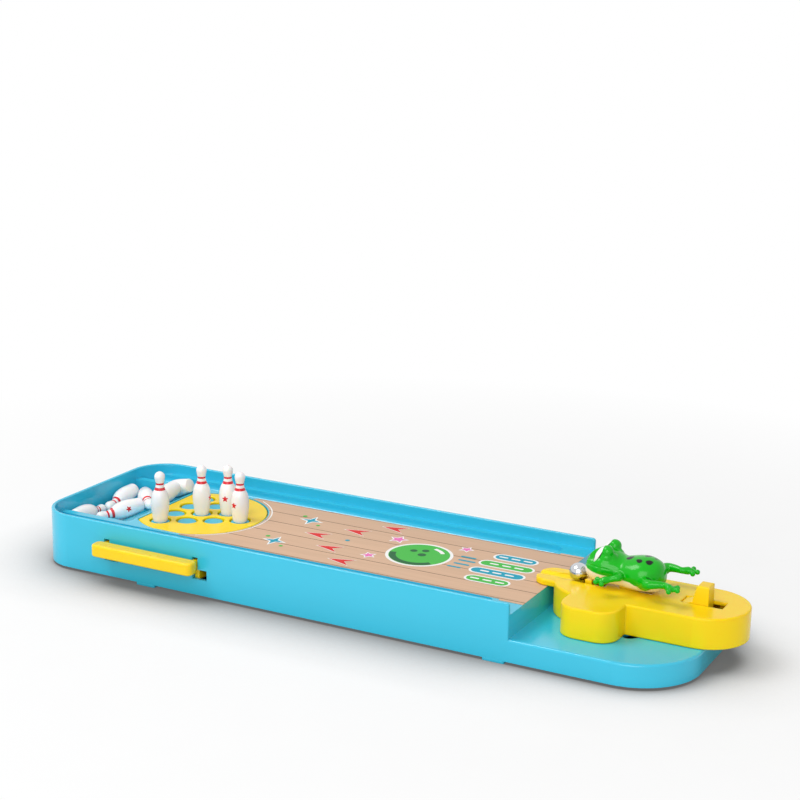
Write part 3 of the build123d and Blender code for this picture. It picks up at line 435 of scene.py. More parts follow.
def ring_outline(x, y, radius, count=40):
    """Outline of a circle on the lane."""
    angles = [2 * math.pi * i / count for i in range(count)]
    return [(x + radius * math.cos(a), y + radius * math.sin(a)) for a in angles]


def star_outline(x, y, radius, inner, tips, turn=0.0):
    """Outline of a star on the lane."""
    points = []
    for i in range(2 * tips):
        reach = radius if i % 2 == 0 else inner
        a = turn + math.pi * i / tips
        points.append((x + reach * math.cos(a), y + reach * math.sin(a)))
    return points


def arc_band(x, y, radius, width, start, sweep, count):
    """Outline of a curved band on the lane, angles in degrees."""
    angles = [math.radians(start + sweep * i / count) for i in range(count + 1)]
    outer, inner = (
        [(x + reach * math.cos(a), y + reach * math.sin(a)) for a in angles]
        for reach in (radius + width / 2, radius - width / 2)
    )
    return outer + inner[::-1]


def arrow_outline(x, y, length, half, notch, grow=0.0):
    """Outline of a lane arrow that points at the pins."""
    return [
        (x - length / 2 - grow * 1.6, y),
        (x + length / 2 + grow, y + half + grow),
        (x + length / 2 - notch + grow * 0.4, y),
        (x + length / 2 + grow, y - half - grow),
    ]


def rounded_bar(x, y, length, width):
    """Outline of a bar with round ends."""
    count = 8
    run = (length - width) / 2
    points = []
    for end in (0, 1):
        middle = run if end == 0 else -run
        for i in range(count + 1):
            a = math.pi * (end - 0.5 + i / count)
            points.append((x + middle + width / 2 * math.cos(a), y + width / 2 * math.sin(a)))
    return points


# Lane print, all in millimetres along the lane and across it

ARROWS = ((179.4, 30.3), (179.4, -30.3), (163.7, 15.4), (163.7, -15.4), (147.5, 0.0))
ARROW_SHAPE = (13.5, 4.4, 4.2)
ARROW_EDGE = 0.7
BAR_X = 258.5
GREEN_BARS = ((6, 29), (-18, 23))
BLUE_BARS = ((-6, 29), (18, 23))
BAR_WIDTH = 6.9
DASH_STEPS = (-7, 0, 7)
BIG_BALL = (211, -1)
BALL_HOLES = ((205.5, 3.4, 2.0), (211.2, 6.2, 2.0), (212.2, -0.4, 2.3))
SPEED_LINES = ((235.5, 8.5, 9), (237.0, 3.0, 10), (236.5, -2.5, 9), (234.8, -8.0, 8))
LINE_WIDTH = 1.7
# Place, radii of the white edge, radii of the pink star and turn
STARS = (
    (190, 15.5, (6.0, 3.1), (4.6, 2.2), 0.3),
    (188, -15, (4.8, 2.5), (3.5, 1.7), 0.9),
    (229, 19.5, (4.6, 2.4), (3.3, 1.6), 0.1),
)
SPARKLES = ((133, 19), (133, -20.5))
SPARKLE_DOTS = ((140.5, 13.5, 1.1), (126.0, 24.0, 1.3), (140.5, -26.0, 1.1), (126.0, -15.5, 1.3))


# Pins

PIN_PROFILE = (
    (0.0, 0.70), (0.012, 0.765), (0.04, 0.80), (0.12, 0.865), (0.25, 0.965), (0.38, 1.0), (0.50, 0.925),
    (0.57, 0.815), (0.61, 0.70), (0.639, 0.60), (0.691, 0.50), (0.743, 0.445), (0.781, 0.445), (0.84, 0.52),
    (0.895, 0.572), (0.94, 0.52), (0.972, 0.38), (0.992, 0.21),
)
STRIPES = ((0.639, 0.691), (0.743, 0.781))
STANDING_FOOT = 24.7
STANDING_PINS = ((98.0, 0.0, 80), (85.21, 7.385, 104), (72.42, 0.0, 192), (59.63, -22.155, -70))
LYING_PINS = (
    ((8.49, -33.14, 21.95), 92.0, -7.0),
    ((29.09, 2.34, 22.75), -117.5, -7.0),
    ((7.12, 24.90, 21.95), -87.0, -7.0),
    ((14.78, 25.58, 20.79), -50.0, 3.0),
    ((45.52, 27.68, 29.97), 175.0, -20.0),
    ((39.96, 21.14, 29.54), -90.0, -7.0),
)


STAR_SHARE = 0.36
STAR_RADIUS = 1.85
STAR_NOTCH = 0.46
STAR_TIPS = 5
STAR_LAYERS = 5
STAR_LIFT = 0.04


def pin_surface(profile, share):
    """Radius share of a pin at a height share."""
    for (h0, r0), (h1, r1) in zip(profile, profile[1:]):
        if h0 <= share <= h1:
            return r0 + (r1 - r0) * (share - h0) / max(h1 - h0, 1e-9)
    return 0.0


def build_pin(name, foot, axis, turn, settings, materials):
    """One pin of revolution with printed stripes and a small star on its belly."""
    rings = smooth_through(PIN_PROFILE, 3)
    count = settings.segments
    up, across, third = axes_round(axis)

    def point_at(share, radius, angle):
        return foot + up * (share * settings.height) + (across * math.cos(angle) + third * math.sin(angle)) * radius

    vertices = [foot.copy()]
    for share, radius in rings:
        vertices.extend(point_at(share, radius * settings.belly, 2 * math.pi * i / count) for i in range(count))
    top = len(vertices)
    vertices.append(foot + up * settings.height)
    faces = [(0, 1 + (i + 1) % count, 1 + i) for i in range(count)]
    slots = [0] * count
    for k in range(len(rings) - 1):
        middle = (rings[k][0] + rings[k + 1][0]) / 2
        striped = any(low < middle < high for low, high in STRIPES)
        faces.extend(ring_faces(1 + k * count, count))
        slots.extend([int(striped)] * count)
    faces.extend((top - count + i, top - count + (i + 1) % count, top) for i in range(count))
    slots.extend([0] * count)
    # The star lies on the belly in rings from its middle to its outline
    start = len(vertices)
    ring = STAR_TIPS * 4
    lift = STAR_LIFT * MM
    vertices.append(point_at(STAR_SHARE, pin_surface(rings, STAR_SHARE) * settings.belly + lift, turn))
    for layer in range(1, STAR_LAYERS + 1):
        for i in range(ring):
            corner = i / 2
            low, high = (1.0 if int(c) % 2 == 0 else STAR_NOTCH for c in (corner, corner + 1))
            a = math.pi * corner / STAR_TIPS
            radius = STAR_RADIUS * MM * (low + (high - low) * (corner % 1)) * layer / STAR_LAYERS
            share = STAR_SHARE + radius * math.cos(a) / settings.height
            belly = pin_surface(rings, share) * settings.belly
            vertices.append(point_at(share, belly + lift, turn + radius * math.sin(a) / belly))
    faces.extend((start, start + 1 + (i + 1) % ring, start + 1 + i) for i in range(ring))
    for layer in range(STAR_LAYERS - 1):
        faces.extend(ring_faces(start + 1 + layer * ring, ring))
    slots.extend([1] * (ring * STAR_LAYERS))
    piece = mesh_object(name, vertices, faces, materials, True, slots)
    mesh = bmesh.new()
    mesh.from_mesh(piece.data)
    bmesh.ops.recalc_face_normals(mesh, faces=mesh.faces[:])
    mesh.to_mesh(piece.data)
    mesh.free()
    piece.data.set_sharp_from_angle(angle=math.radians(50))
    return piece


# Frog

FROG_NOSE = 6.2
FROG_LENGTH = 41.2
FROG_SECTIONS = (
    (0.000, 0.206, 0.030, 0.040), (0.012, 0.208, 0.095, 0.118), (0.068, 0.228, 0.170, 0.198),
    (0.163, 0.245, 0.212, 0.258), (0.260, 0.250, 0.222, 0.272), (0.369, 0.236, 0.204, 0.248),
    (0.478, 0.212, 0.186, 0.226), (0.560, 0.216, 0.196, 0.250), (0.670, 0.223, 0.211, 0.272),
    (0.782, 0.226, 0.214, 0.262), (0.903, 0.214, 0.190, 0.206), (0.965, 0.208, 0.136, 0.140),
    (0.995, 0.206, 0.050, 0.055),
)
# Place along and across, half length, half width and turn of each spot
FROG_SPOTS = (
    (16.0, 5.91, 1.14, 1.50, 20), (20.3, 7.49, 2.29, 1.14, -15), (26.9, 6.28, 1.14, 1.50, 70),
    (20.7, 2.28, 0.79, 0.79, 0), (25.0, 1.54, 1.94, 1.50, 50), (16.8, -2.00, 1.94, 1.76, 30),
    (22.6, -5.07, 1.67, 1.32, -20), (29.2, 1.26, 0.79, 0.88, 0), (28.9, 14.28, 1.50, 0.97, 60),
    (30.0, -11.20, 1.50, 1.14, 20), (27.6, -4.32, 1.94, 1.41, 30),
)
SPOT_BLUR = 0.3
# Height of the line between back and belly at places along the figure
BELLY_LINE = (
    (-6.2, 39.2), (-4.0, 38.7), (0.0, 38.0), (8.0, 36.8), (13.0, 36.3), (20.0, 36.0), (22.5, 34.6), (30.0, 34.2),
    (36.0, 35.6),
)
BELLY_HALF = 11.9
BELLY_END = 36.2
LINE_BLUR = 0.35
BROWS = ((5.8, 5.3, 47.9, 3.4), (5.4, 5.0, 44.6, 4.2), (7.8, 4.0, 43.8, 3.7))
# Radii are shares of the arm's radius along a limb and of the toe's radius at hands and feet
FROG_LIMBS = (
    {
        "limb": (
            (13.2, 7.8, 37.4, 1.45), (15.4, 12.2, 38.4, 1.1), (15.2, 14.8, 38.8, 0.98), (12.0, 16.2, 38.0, 0.86),
            (9.4, 17.6, 37.3, 1.1),
        ),
        "palm": (7.9, 18.6, 36.9, 1.35),
        "root": (9.4, 17.7, 37.2, 1.5),
        "bend": (9.2, 17.8, 37.0),
        "tips": ((5.2, 16.0, 36.7), (6.0, 20.0, 36.7), (9.6, 21.6, 36.7)),
    },
    {
        "limb": (
            (26.4, 8.0, 36.2, 2.1), (29.0, 11.8, 37.2, 1.75), (31.0, 14.4, 38.1, 1.3), (35.0, 13.6, 38.6, 1.08),
            (38.8, 12.6, 38.6, 0.9), (41.6, 14.4, 38.4, 1.1),
        ),
        "palm": (43.4, 15.1, 38.2, 1.5),
        "root": (41.8, 14.4, 38.3, 1.6),
        "bend": (41.8, 14.4, 38.3),
        "tips": ((45.0, 11.4, 38.2), (46.2, 15.2, 38.2), (43.0, 18.8, 38.2)),
    },
)
TIP_NECK = 1.15
TIP_PAD = 1.4
MOUTH_HEIGHT = 40.0
MOUTH_CURVE = 0.012
MOUTH_FALL = 0.09
MOUTH_DEPTH = 0.45
MOUTH_HALF = 0.42
MOUTH_END = 9.5
MOUTH_FADE = 3
MOUTH_SIDE = 12
NOSTRIL = (-4.4, 2.0, 43.0)
NOSTRIL_RADIUS = 0.75
NOSTRIL_DEPTH = 0.4
SOCKET_DEPTH = 0.35
SOCKET_SLOPE = 7
EYE = (1.9, 5.4, 45.6)
EYE_HALF = (2.0, 3.3, 4.9)
EYE_LOOK = (-0.85, 0.2, 0.48)
# Place across and up the eye, and half sizes, as shares of the eye
PUPIL = (0.0, -0.46, 0.56, 0.4)
# The glint is a painted highlight, a white spot kept inside the black pupil
PAINTED_GLINT = (0.14, -0.28, 0.13, 0.1)


def unit_ball(subdivisions):
    """Points and faces of a ball of radius one."""
    mesh = bmesh.new()
    bmesh.ops.create_icosphere(mesh, subdivisions=subdivisions, radius=1)
    points = [v.co.copy() for v in mesh.verts]
    faces = [tuple(v.index for v in face.verts) for face in mesh.faces]
    mesh.free()
    return points, faces


def frog_forms(settings):
    """Overlapping forms that the figure is sculpted from, as one mesh."""
    vertices = []
    faces = []
    around = 48
    rows = smooth_through(FROG_SECTIONS, 4)
    for along, up, half_height, half_width in rows:
        for i in range(around):
            a = 2 * math.pi * i / around
            y = half_width * FROG_LENGTH * math.cos(a)
            z = LAUNCHER_TOP + (up + half_height * math.sin(a)) * FROG_LENGTH
            vertices.append(on_launcher(along * FROG_LENGTH - FROG_NOSE, y, z))
    for k in range(len(rows) - 1):
        for i in range(around):
            j = (i + 1) % around
            faces.append((k * around + i, (k + 1) * around + i, (k + 1) * around + j, k * around + j))
    faces.append(tuple(range(around)))
    faces.append(tuple(range((len(rows) - 1) * around, len(rows) * around))[::-1])
    fine = unit_ball(3)
    coarse = unit_ball(2)

    def ball(u, y, z, radius):
        points, sides = fine if radius > 1.5 else coarse
        start = len(vertices)
        centre = on_launcher(u, y, z)
        vertices.extend(centre + point * (radius * MM) for point in points)
        faces.extend(tuple(start + i for i in side) for side in sides)

    def chain(points):
        last = None
        for u, y, z, radius in smooth_through(points, 10):
            here = Vector((u, y, z))
            if last is None or (here - last).length > radius * 0.3:
                ball(u, y, z, radius)
                last = here

    limb = settings.limb / MM
    toe = settings.toe / MM
    for side in (-1, 1):
        for u, y, z, radius in BROWS:
            ball(u, side * y, z, radius)
        for part in FROG_LIMBS:
            chain([(u, side * y, z, limb * share) for u, y, z, share in part["limb"]])
            u, y, z, share = part["palm"]
            ball(u, side * y, z, toe * share)
            u, y, z, share = part["root"]
            bend_u, bend_y, bend_z = part["bend"]
            for tip_u, tip_y, tip_z in part["tips"]:
                chain(
                    [
                        (u, side * y, z, toe * share),
                        ((bend_u + tip_u) / 2, side * (bend_y + tip_y) / 2, bend_z, toe),
                        (tip_u, side * tip_y, tip_z, toe * TIP_NECK),
                    ]
                )
                ball(tip_u, side * tip_y, tip_z, toe * TIP_PAD)
    data = bpy.data.meshes.new("frog_figure")
    data.from_pydata([tuple(v) for v in vertices], [], faces)
    return data


def columns(data, field):
    """Values that a mesh's points hold in a field, three for each."""
    flat = np.empty(len(data.vertices) * 3)
    data.vertices.foreach_get(field, flat)
    return flat.reshape(-1, 3)


def points_and_normals(data):
    """Launcher coordinates in millimetres and normals of a mesh's points."""
    return columns(data, "co") / MM - np.array((PIVOT_X, LANE_Y, 0)), columns(data, "normal")


def keep_paint(data, colours):
    """Store a colour for each of a mesh's points."""
    layer = data.color_attributes.new("paint", "FLOAT_COLOR", "POINT")
    layer.data.foreach_set("color", np.ravel(colours))


def eye_axes(side):
    """Directions out of an eye, across it and up along it."""
    out = Vector((EYE_LOOK[0], side * EYE_LOOK[1], EYE_LOOK[2])).normalized()
    across = out.cross(Vector((0, 0, 1))).normalized()
    return out, across, across.cross(out)


def sculpt_frog(settings):
    """Figure as one smooth skin, with mouth, nostrils and painted colours."""
    figure = linked("frog_figure", frog_forms(settings))
    melt = figure.modifiers.new("melt", "REMESH")
    melt.mode = "VOXEL"
    melt.voxel_size = settings.grain
    soften = figure.modifiers.new("soften", "SMOOTH")
    soften.factor = 0.5
    soften.iterations = 9
    graph = bpy.context.evaluated_depsgraph_get()
    data = bpy.data.meshes.new_from_object(figure.evaluated_get(graph))
    figure.modifiers.clear()
    figure.data = data
    data.name = "frog_figure"
    places, normals = points_and_normals(data)
    u, y, z = places.T
    lip = MOUTH_HEIGHT + MOUTH_CURVE * y * y - np.clip(u, 0, None) * MOUTH_FALL
    dent = MOUTH_DEPTH * np.clip(1 - abs(z - lip) / MOUTH_HALF, 0, 1)
    dent *= np.clip((MOUTH_END - u) / MOUTH_FADE, 0, 1) * (abs(y) < MOUTH_SIDE)
    for side in (-1, 1):
        apart = np.sqrt((u - NOSTRIL[0]) ** 2 + (y - side * NOSTRIL[1]) ** 2 + (z - NOSTRIL[2]) ** 2)
        dent += NOSTRIL_DEPTH * np.clip(1 - apart / NOSTRIL_RADIUS, 0, 1)
    carved = places - normals * dent[:, None]
    for side in (-1, 1):
        out, across, up = (np.array(axis) for axis in eye_axes(side))
        apart = carved - np.array((EYE[0], side * EYE[1], EYE[2]))
        reach = np.hypot(apart @ across / EYE_HALF[1], apart @ up / EYE_HALF[2])
        socket = SOCKET_SLOPE * np.clip(reach - 1, 0, None) ** 1.5 - SOCKET_DEPTH
        carved -= np.clip(apart @ out - socket, 0, None)[:, None] * out
    carved += np.array((PIVOT_X, LANE_Y, 0))
    data.vertices.foreach_set("co", (carved * MM).ravel())
    paint_frog(data)
    data.polygons.foreach_set("use_smooth", [True] * len(data.polygons))
    data.update()
    return figure


def paint_frog(data):
    """Green back, cream belly and dark spots as a colour attribute."""
    plastics = bpy.context.scene.bowling_plastics
    dark = np.array(linear((3, 10, 5)))
    places, normals = points_and_normals(data)
    u, y, z = places.T
    line = np.interp(u, *zip(*BELLY_LINE))
    below = np.clip(0.5 + (line - z) / LINE_BLUR, 0, 1) * ((abs(y) < BELLY_HALF) & (u < BELLY_END))
    colours = np.array(plastics.green) + below[:, None] * (np.array(plastics.cream) - np.array(plastics.green))
    wobble = random.Random(7)
    facing_up = (normals[:, 2] > -0.05) & (z > 36.5)
    for spot_u, spot_y, long, wide, turn in FROG_SPOTS:
        turn = math.radians(turn)
        along = ((u - spot_u) * math.cos(turn) + (y - spot_y) * math.sin(turn)) / long
        across = ((y - spot_y) * math.cos(turn) - (u - spot_u) * math.sin(turn)) / wide
        angle = np.arctan2(across, along)
        edge = 1 + 0.07 * np.sin(2 * angle + wobble.uniform(0, 6)) + 0.06 * np.sin(3 * angle + wobble.uniform(0, 6))
        depth = (edge - np.hypot(along, across)) * min(long, wide)
        inside = np.clip(0.5 + depth / SPOT_BLUR, 0, 1) * facing_up
        colours += inside[:, None] * (dark - colours)
    keep_paint(data, colours)


def soft_step(value, sharpness):
    """Nought below a border and one above it, blended across it."""
    return min(max(0.5 + value * sharpness, 0), 1)


def oval_reach(oval, x, y):
    """Distance of a point from an oval's middle, one on its outline."""
    return math.hypot((x - oval[0]) / oval[2], (y - oval[1]) / oval[3])


def build_eye(name, side, material):
    """Oval white eye on the front of a brow, with a black pupil low on it and a painted white glint in the pupil."""
    out, across, up = eye_axes(side)
    points, faces = unit_ball(6)
    white, black = linear((247, 247, 244)), linear((15, 16, 17))
    centre = on_launcher(EYE[0], side * EYE[1], EYE[2])
    vertices = []
    colours = []
    for point in points:
        forward, wide, tall = point.z, point.x, point.y
        place = out * (forward * EYE_HALF[0]) + across * (wide * EYE_HALF[1]) + up * (tall * EYE_HALF[2])
        vertices.append(centre + place * MM)
        # Black pupil, except for the white painted glint
        share = soft_step(1 - oval_reach(PUPIL, wide, tall), 6) * soft_step(oval_reach(PAINTED_GLINT, wide, tall) - 1, 6)
        share = max(share, soft_step(0.02 - forward, 9))
        colours.append([w + (b - w) * share for w, b in zip(white, black)])
    eye = mesh_object(name, vertices, faces, [material])
    keep_paint(eye.data, colours)
    return eye


# Springs

COIL_SIDES = 10
COIL_STEPS = 28


def coil_mesh(name, start, axis, length, radius, wire, turns, material):
    """Round-wire coil with a flat closed turn at each end."""
    up, across, third = axes_round(Vector(axis))
    closed_rise = 2.1 * wire
    open_rise = length - 2 * wire - 2 * closed_rise
    path = []
    for i in range((turns + 2) * COIL_STEPS + 1):
        t = i / COIL_STEPS
        closed = min(t, 1) + max(t - turns - 1, 0.0)
        opened = min(max(t - 1, 0.0), turns) / turns
        climb = wire + closed * closed_rise + opened * open_rise
        a = 2 * math.pi * t
        path.append(start + up * climb + (across * math.cos(a) + third * math.sin(a)) * radius)
    vertices = []
    faces = []
    for k, point in enumerate(path):
        ahead = (path[min(k + 1, len(path) - 1)] - path[max(k - 1, 0)]).normalized()
        first = ahead.cross(up).normalized()
        second = ahead.cross(first)
        for i in range(COIL_SIDES):
            a = 2 * math.pi * i / COIL_SIDES
            vertices.append(point + (first * math.cos(a) + second * math.sin(a)) * wire)
    for k in range(len(path) - 1):
        faces.extend(ring_faces(k * COIL_SIDES, COIL_SIDES))
    faces.append(tuple(range(COIL_SIDES))[::-1])
    faces.append(tuple(range(len(vertices) - COIL_SIDES, len(vertices))))
    return mesh_object(name, vertices, faces, [material])


# Stage

WHITE = (1, 1, 1, 1)
BLACK = (0, 0, 0, 1)
FLOOR_HALF = 15
KEY_PLACE = (-0.79, -0.44, 1.5)
KEY_TARGET = (0, 0, 0)
KEY_SIZE = 0.8
FILL_PLACE = (0.5, -1.6, 0.9)
FILL_TARGET = (0, 0, 0.02)
FILL_SIZE = 1.2
CAMERA_PLACE = (0.41336, -0.78433, 0.33787)
CAMERA_TURN = 27.513
CAMERA_RISE = 14.465
CAMERA_ROLL = 1.057


def seen_directly(tree):
    """One for camera, glossy and transmission rays, nought for the others."""
    path = tree.nodes.new("ShaderNodeLightPath")
    total = path.outputs["Is Camera Ray"]
    for ray in ("Is Glossy Ray", "Is Transmission Ray"):
        total = computed(tree, "MAXIMUM", total, path.outputs[ray])
    return total


def blended(tree, share, first, second, output):
    """Mix of two shaders as the surface."""
    blend = tree.nodes.new("ShaderNodeMixShader")
    tree.links.new(share, blend.inputs["Fac"])
    tree.links.new(first, blend.inputs[1])
    tree.links.new(second, blend.inputs[2])
    tree.links.new(blend.outputs["Shader"], output.inputs["Surface"])


def studio_floor(name):
    """White floor that keeps the shadow near the game, deepened there by a shadow painted from ambient occlusion, and
    fades to plain white further out.
    """
    material, tree, output = bare_material(name)
    matt = tree.nodes.new("ShaderNodeBsdfDiffuse")
    white = tree.nodes.new("ShaderNodeEmission")
    set_sockets(white, {"Color": WHITE})
    where = tree.nodes.new("ShaderNodeTexCoord").outputs["Object"]
    reach = tree.nodes.new("ShaderNodeVectorMath")
    reach.operation = "LENGTH"
    tree.links.new(where, reach.inputs[0])
    faded = mapped(tree, reach.outputs["Value"], 0.55, 1, 0.22, 0.5)
    paper = mixed(tree, noise_of(tree, 30, 2), (0.90, 0.90, 0.90, 1), (0.93, 0.93, 0.93, 1))
    # Painted shadow: ambient occlusion darkens the floor's colour and its white next to the game
    painted_contact_shadow = tree.nodes.new("ShaderNodeAmbientOcclusion")
    painted_contact_shadow.samples = 16
    set_sockets(painted_contact_shadow, {"Distance": 0.055})
    shade = mapped(tree, painted_contact_shadow.outputs["AO"], 0.2, 1, 0.4, 0.97)
    tree.links.new(mixed(tree, shade, BLACK, paper), matt.inputs["Color"])
    tree.links.new(shade, white.inputs["Strength"])
    share = computed(tree, "MULTIPLY", faded, seen_directly(tree))
    blended(tree, share, matt.outputs["BSDF"], white.outputs["Emission"], output)
    return material


def white_room(strength):
    """Plain white behind everything, and an even room light for the game."""
    world = bpy.data.worlds.new("white_room")
    world.use_nodes = True
    tree = world.node_tree
    tree.nodes.clear()
    output = tree.nodes.new("ShaderNodeOutputWorld")
    even = tree.nodes.new("ShaderNodeBackground")
    set_sockets(even, {"Color": WHITE, "Strength": strength})
    plain = tree.nodes.new("ShaderNodeBackground")
    set_sockets(plain, {"Color": WHITE})
    blended(tree, seen_directly(tree), even.outputs["Background"], plain.outputs["Background"], output)
    bpy.context.scene.world = world


def softbox(name, place, target, size, power):
    """Square area lamp that looks at a point."""
    lamp = bpy.data.lights.new(name, "AREA")
    lamp.size = size
    lamp.energy = power
    holder = linked(name, lamp)
    holder.location = place
    holder.rotation_euler = (Vector(target) - Vector(place)).to_track_quat("-Z", "Y").to_euler()


def photo_camera(lens):
    """Camera at the photograph's viewpoint."""
    around, above, roll = (math.radians(angle) for angle in (CAMERA_TURN, CAMERA_RISE, CAMERA_ROLL))
    back = Vector((math.sin(around) * math.cos(above), -math.cos(around) * math.cos(above), math.sin(above)))
    right = Vector((math.cos(around), math.sin(around), 0))
    up = back.cross(right)
    turned_right = right * math.cos(roll) + up * math.sin(roll)
    turned_up = up * math.cos(roll) - right * math.sin(roll)
    camera = bpy.data.cameras.new("photo_camera")
    camera.lens = lens
    camera.sensor_width = 36
    camera.clip_end = 60
    holder = linked("photo_camera", camera)
    place = Matrix((turned_right, turned_up, back)).transposed().to_4x4()
    place.translation = Vector(CAMERA_PLACE)
    holder.matrix_world = place
    return holder


# Operators, one for each piece or group of like pieces


class BOWLING_OT_tray(bpy.types.Operator):
    """Dress the tray and its bottom cover in polished blue plastic"""

    bl_idname = "bowling.tray"
    bl_label = "Tray"

    def execute(self, context):
        plastics = context.scene.bowling_plastics
        tray_blue = moulded_plastic("tray_blue", plastics.blue, plastics.roughness * 0.6, edge=0, shine=0.5)
        dress(tray_blue, "tray")
        # The cover takes the tray blue painted darker, as shade for the part under the tray
        dress(moulded_plastic("cover_blue_shaded", shaded(plastics.blue, 0.92), 0.42), "bottom_cover")
        return {"FINISHED"}


class BOWLING_OT_lane_print(bpy.types.Operator):
    """Print planks, arrows and plain bowling motifs on the lane's sheet"""

    bl_idname = "bowling.lane_print"
    bl_label = "Lane print"

    def execute(self, context):
        inks = context.scene.bowling_print
        dress(plank_print("lane_planks", tuple(inks.wood), tuple(inks.line), inks.plank), "lane_sticker")
        white = printed_ink("ink_white", linear((250, 249, 246)))
        red = printed_ink("ink_red", inks.arrow)
        leaf = printed_ink("ink_green", inks.leaf)
        sea = printed_ink("ink_blue", inks.sea)
        pink = printed_ink("ink_pink", inks.pink)
        dark = printed_ink("ink_dark", linear((24, 96, 50)))
        low, middle, high = (PRINT_TOP + PRINT_STEP * step for step in (1, 2, 3))
        ball_x, ball_y = BIG_BALL
        bars = sorted(GREEN_BARS + BLUE_BARS)
        dashes = [rounded_bar(BAR_X + step, y, 5.2, 1.6) for y, _ in bars for step in DASH_STEPS]
        layers = [
            ("arrow_edges", [arrow_outline(x, y, *ARROW_SHAPE, ARROW_EDGE) for x, y in ARROWS], low, white),
            ("arrows", [arrow_outline(x, y, *ARROW_SHAPE) for x, y in ARROWS], middle, red),
            ("aim_dot", [ring_outline(166.8, 0, 1.3)], middle, sea),
            ("setter_ring", [arc_band(72.9, 0, 39.2, 0.7, -62, 124, 60)], middle, white),
            ("bar_edges", [rounded_bar(BAR_X, y, length + 2.5, BAR_WIDTH + 2.3) for y, length in bars], low, white),
            ("bars_green", [rounded_bar(BAR_X, y, length, BAR_WIDTH) for y, length in GREEN_BARS], middle, leaf),
            ("bars_blue", [rounded_bar(BAR_X, y, length, BAR_WIDTH) for y, length in BLUE_BARS], middle, sea),
            ("bar_dashes", dashes, high, white),
            ("big_ball_edge", [ring_outline(ball_x, ball_y, 18.1, 72)], low, white),
            ("big_ball_face", [ring_outline(ball_x, ball_y, 16.4, 72)], middle, leaf),
            ("big_ball_shade", [arc_band(ball_x, ball_y, 14.3, 3.6, 190, 130, 40)], high, dark),
            ("big_ball_holes", [ring_outline(*hole) for hole in BALL_HOLES], high, dark),
            ("ball_glint", [arc_band(ball_x, ball_y, 12.6, 2.2, 35, 40, 16)], high, white),
            ("speed_lines", [rounded_bar(*line, LINE_WIDTH) for line in SPEED_LINES], middle, sea),
            ("star_edges", [star_outline(x, y, *edge, 5, turn) for x, y, edge, _, turn in STARS], low, white),
            ("pink_stars", [star_outline(x, y, *face, 5, turn) for x, y, _, face, turn in STARS], middle, pink),
            ("sparkle_edges", [star_outline(x, y, 7.6, 2.9, 4) for x, y in SPARKLES], low, white),
            ("sparkles", [star_outline(x, y, 5.6, 1.9, 4) for x, y in SPARKLES], middle, sea),
            ("sparkle_dots", [ring_outline(*dot) for dot in SPARKLE_DOTS], middle, leaf),
        ]
        for name, outlines, height, ink in layers:
            finish_piece(flat_shapes(name, outlines, height, ink), "tray", "printed_sheet")
        return {"FINISHED"}


class BOWLING_OT_pin_setter(bpy.types.Operator):
    """Dress the setter plate, the pads, the inner frame and the handle"""

    bl_idname = "bowling.pin_setter"
    bl_label = "Pin setter"

    def execute(self, context):
        plastics = context.scene.bowling_plastics
        yellow = plastics.yellow
        gloss = plastics.roughness
        plate_yellow = moulded_plastic("plate_yellow", yellow, gloss + 0.04, coat=0.03, glow=0.2, shine=0.16)
        dress(plate_yellow, "setter_plate")
        handle_yellow = moulded_plastic("handle_yellow", yellow, gloss, coat=0.08, glow=0.2, edge=0.0009)
        dress(handle_yellow, "lift_handle")
        # The pads and frame take the tray blue painted darker, as shade for parts sunk in the holes and under the
        # plate
        dress(moulded_plastic("pad_blue_shaded", shaded(plastics.blue, 0.86), 0.38), "pin_pads", "lift_frame")
        return {"FINISHED"}


class BOWLING_OT_pins(bpy.types.Operator):
    """Turn the ten pins and print their stripes"""

    bl_idname = "bowling.pins"
    bl_label = "Pins"

    def execute(self, context):
        settings = context.scene.bowling_pins
        materials = [
            moulded_plastic("pin_white", settings.white, 0.26, coat=0.15, glow=0.15, edge=0, mottle=0.02),
            moulded_plastic("pin_stripe", settings.stripe, 0.26, coat=0.2, edge=0, mottle=0.06),
        ]
        turns = random.Random(3)
        upright = Vector((0, 0, 1))
        pins = [(on_lane(x, y, STANDING_FOOT), upright, math.radians(facing)) for x, y, facing in STANDING_PINS]
        for foot, heading, tilt in LYING_PINS:
            level, rise = math.cos(math.radians(tilt)), math.sin(math.radians(tilt))
            side = math.radians(heading)
            axis = Vector((level * math.cos(side), level * math.sin(side), rise))
            pins.append((on_lane(*foot), axis, turns.uniform(0, 2 * math.pi)))
        for number, (foot, axis, turn) in enumerate(pins, 1):
            pin = build_pin(f"pin_body_{number}", foot, axis, turn, settings, materials)
            finish_piece(pin, f"pin_{number}", "pin_white", f"pin_{number}")
        return {"FINISHED"}


class BOWLING_OT_launcher(bpy.types.Operator):
    """Dress the launcher's housing, base and slider"""

    bl_idname = "bowling.launcher"
    bl_label = "Launcher"

    def execute(self, context):
        plastics = context.scene.bowling_plastics
        yellow = plastics.yellow
        gloss = plastics.roughness * 0.8
        launcher_yellow = moulded_plastic("launcher_yellow", yellow, gloss, glow=0.25, edge=0.001, shine=0.2)
        dress(launcher_yellow, "launcher_housing")
        # Base and slider take the launcher yellow painted darker, as shade for parts under the housing and inside its
        # slots
        dress(moulded_plastic("launcher_under_shaded", shaded(yellow, 0.95), 0.4, glow=0.04), "launcher_base")
        dress(moulded_plastic("slider_yellow_shaded", shaded(yellow, 0.92), 0.35, glow=0.04), "striker_slider")
        return {"FINISHED"}


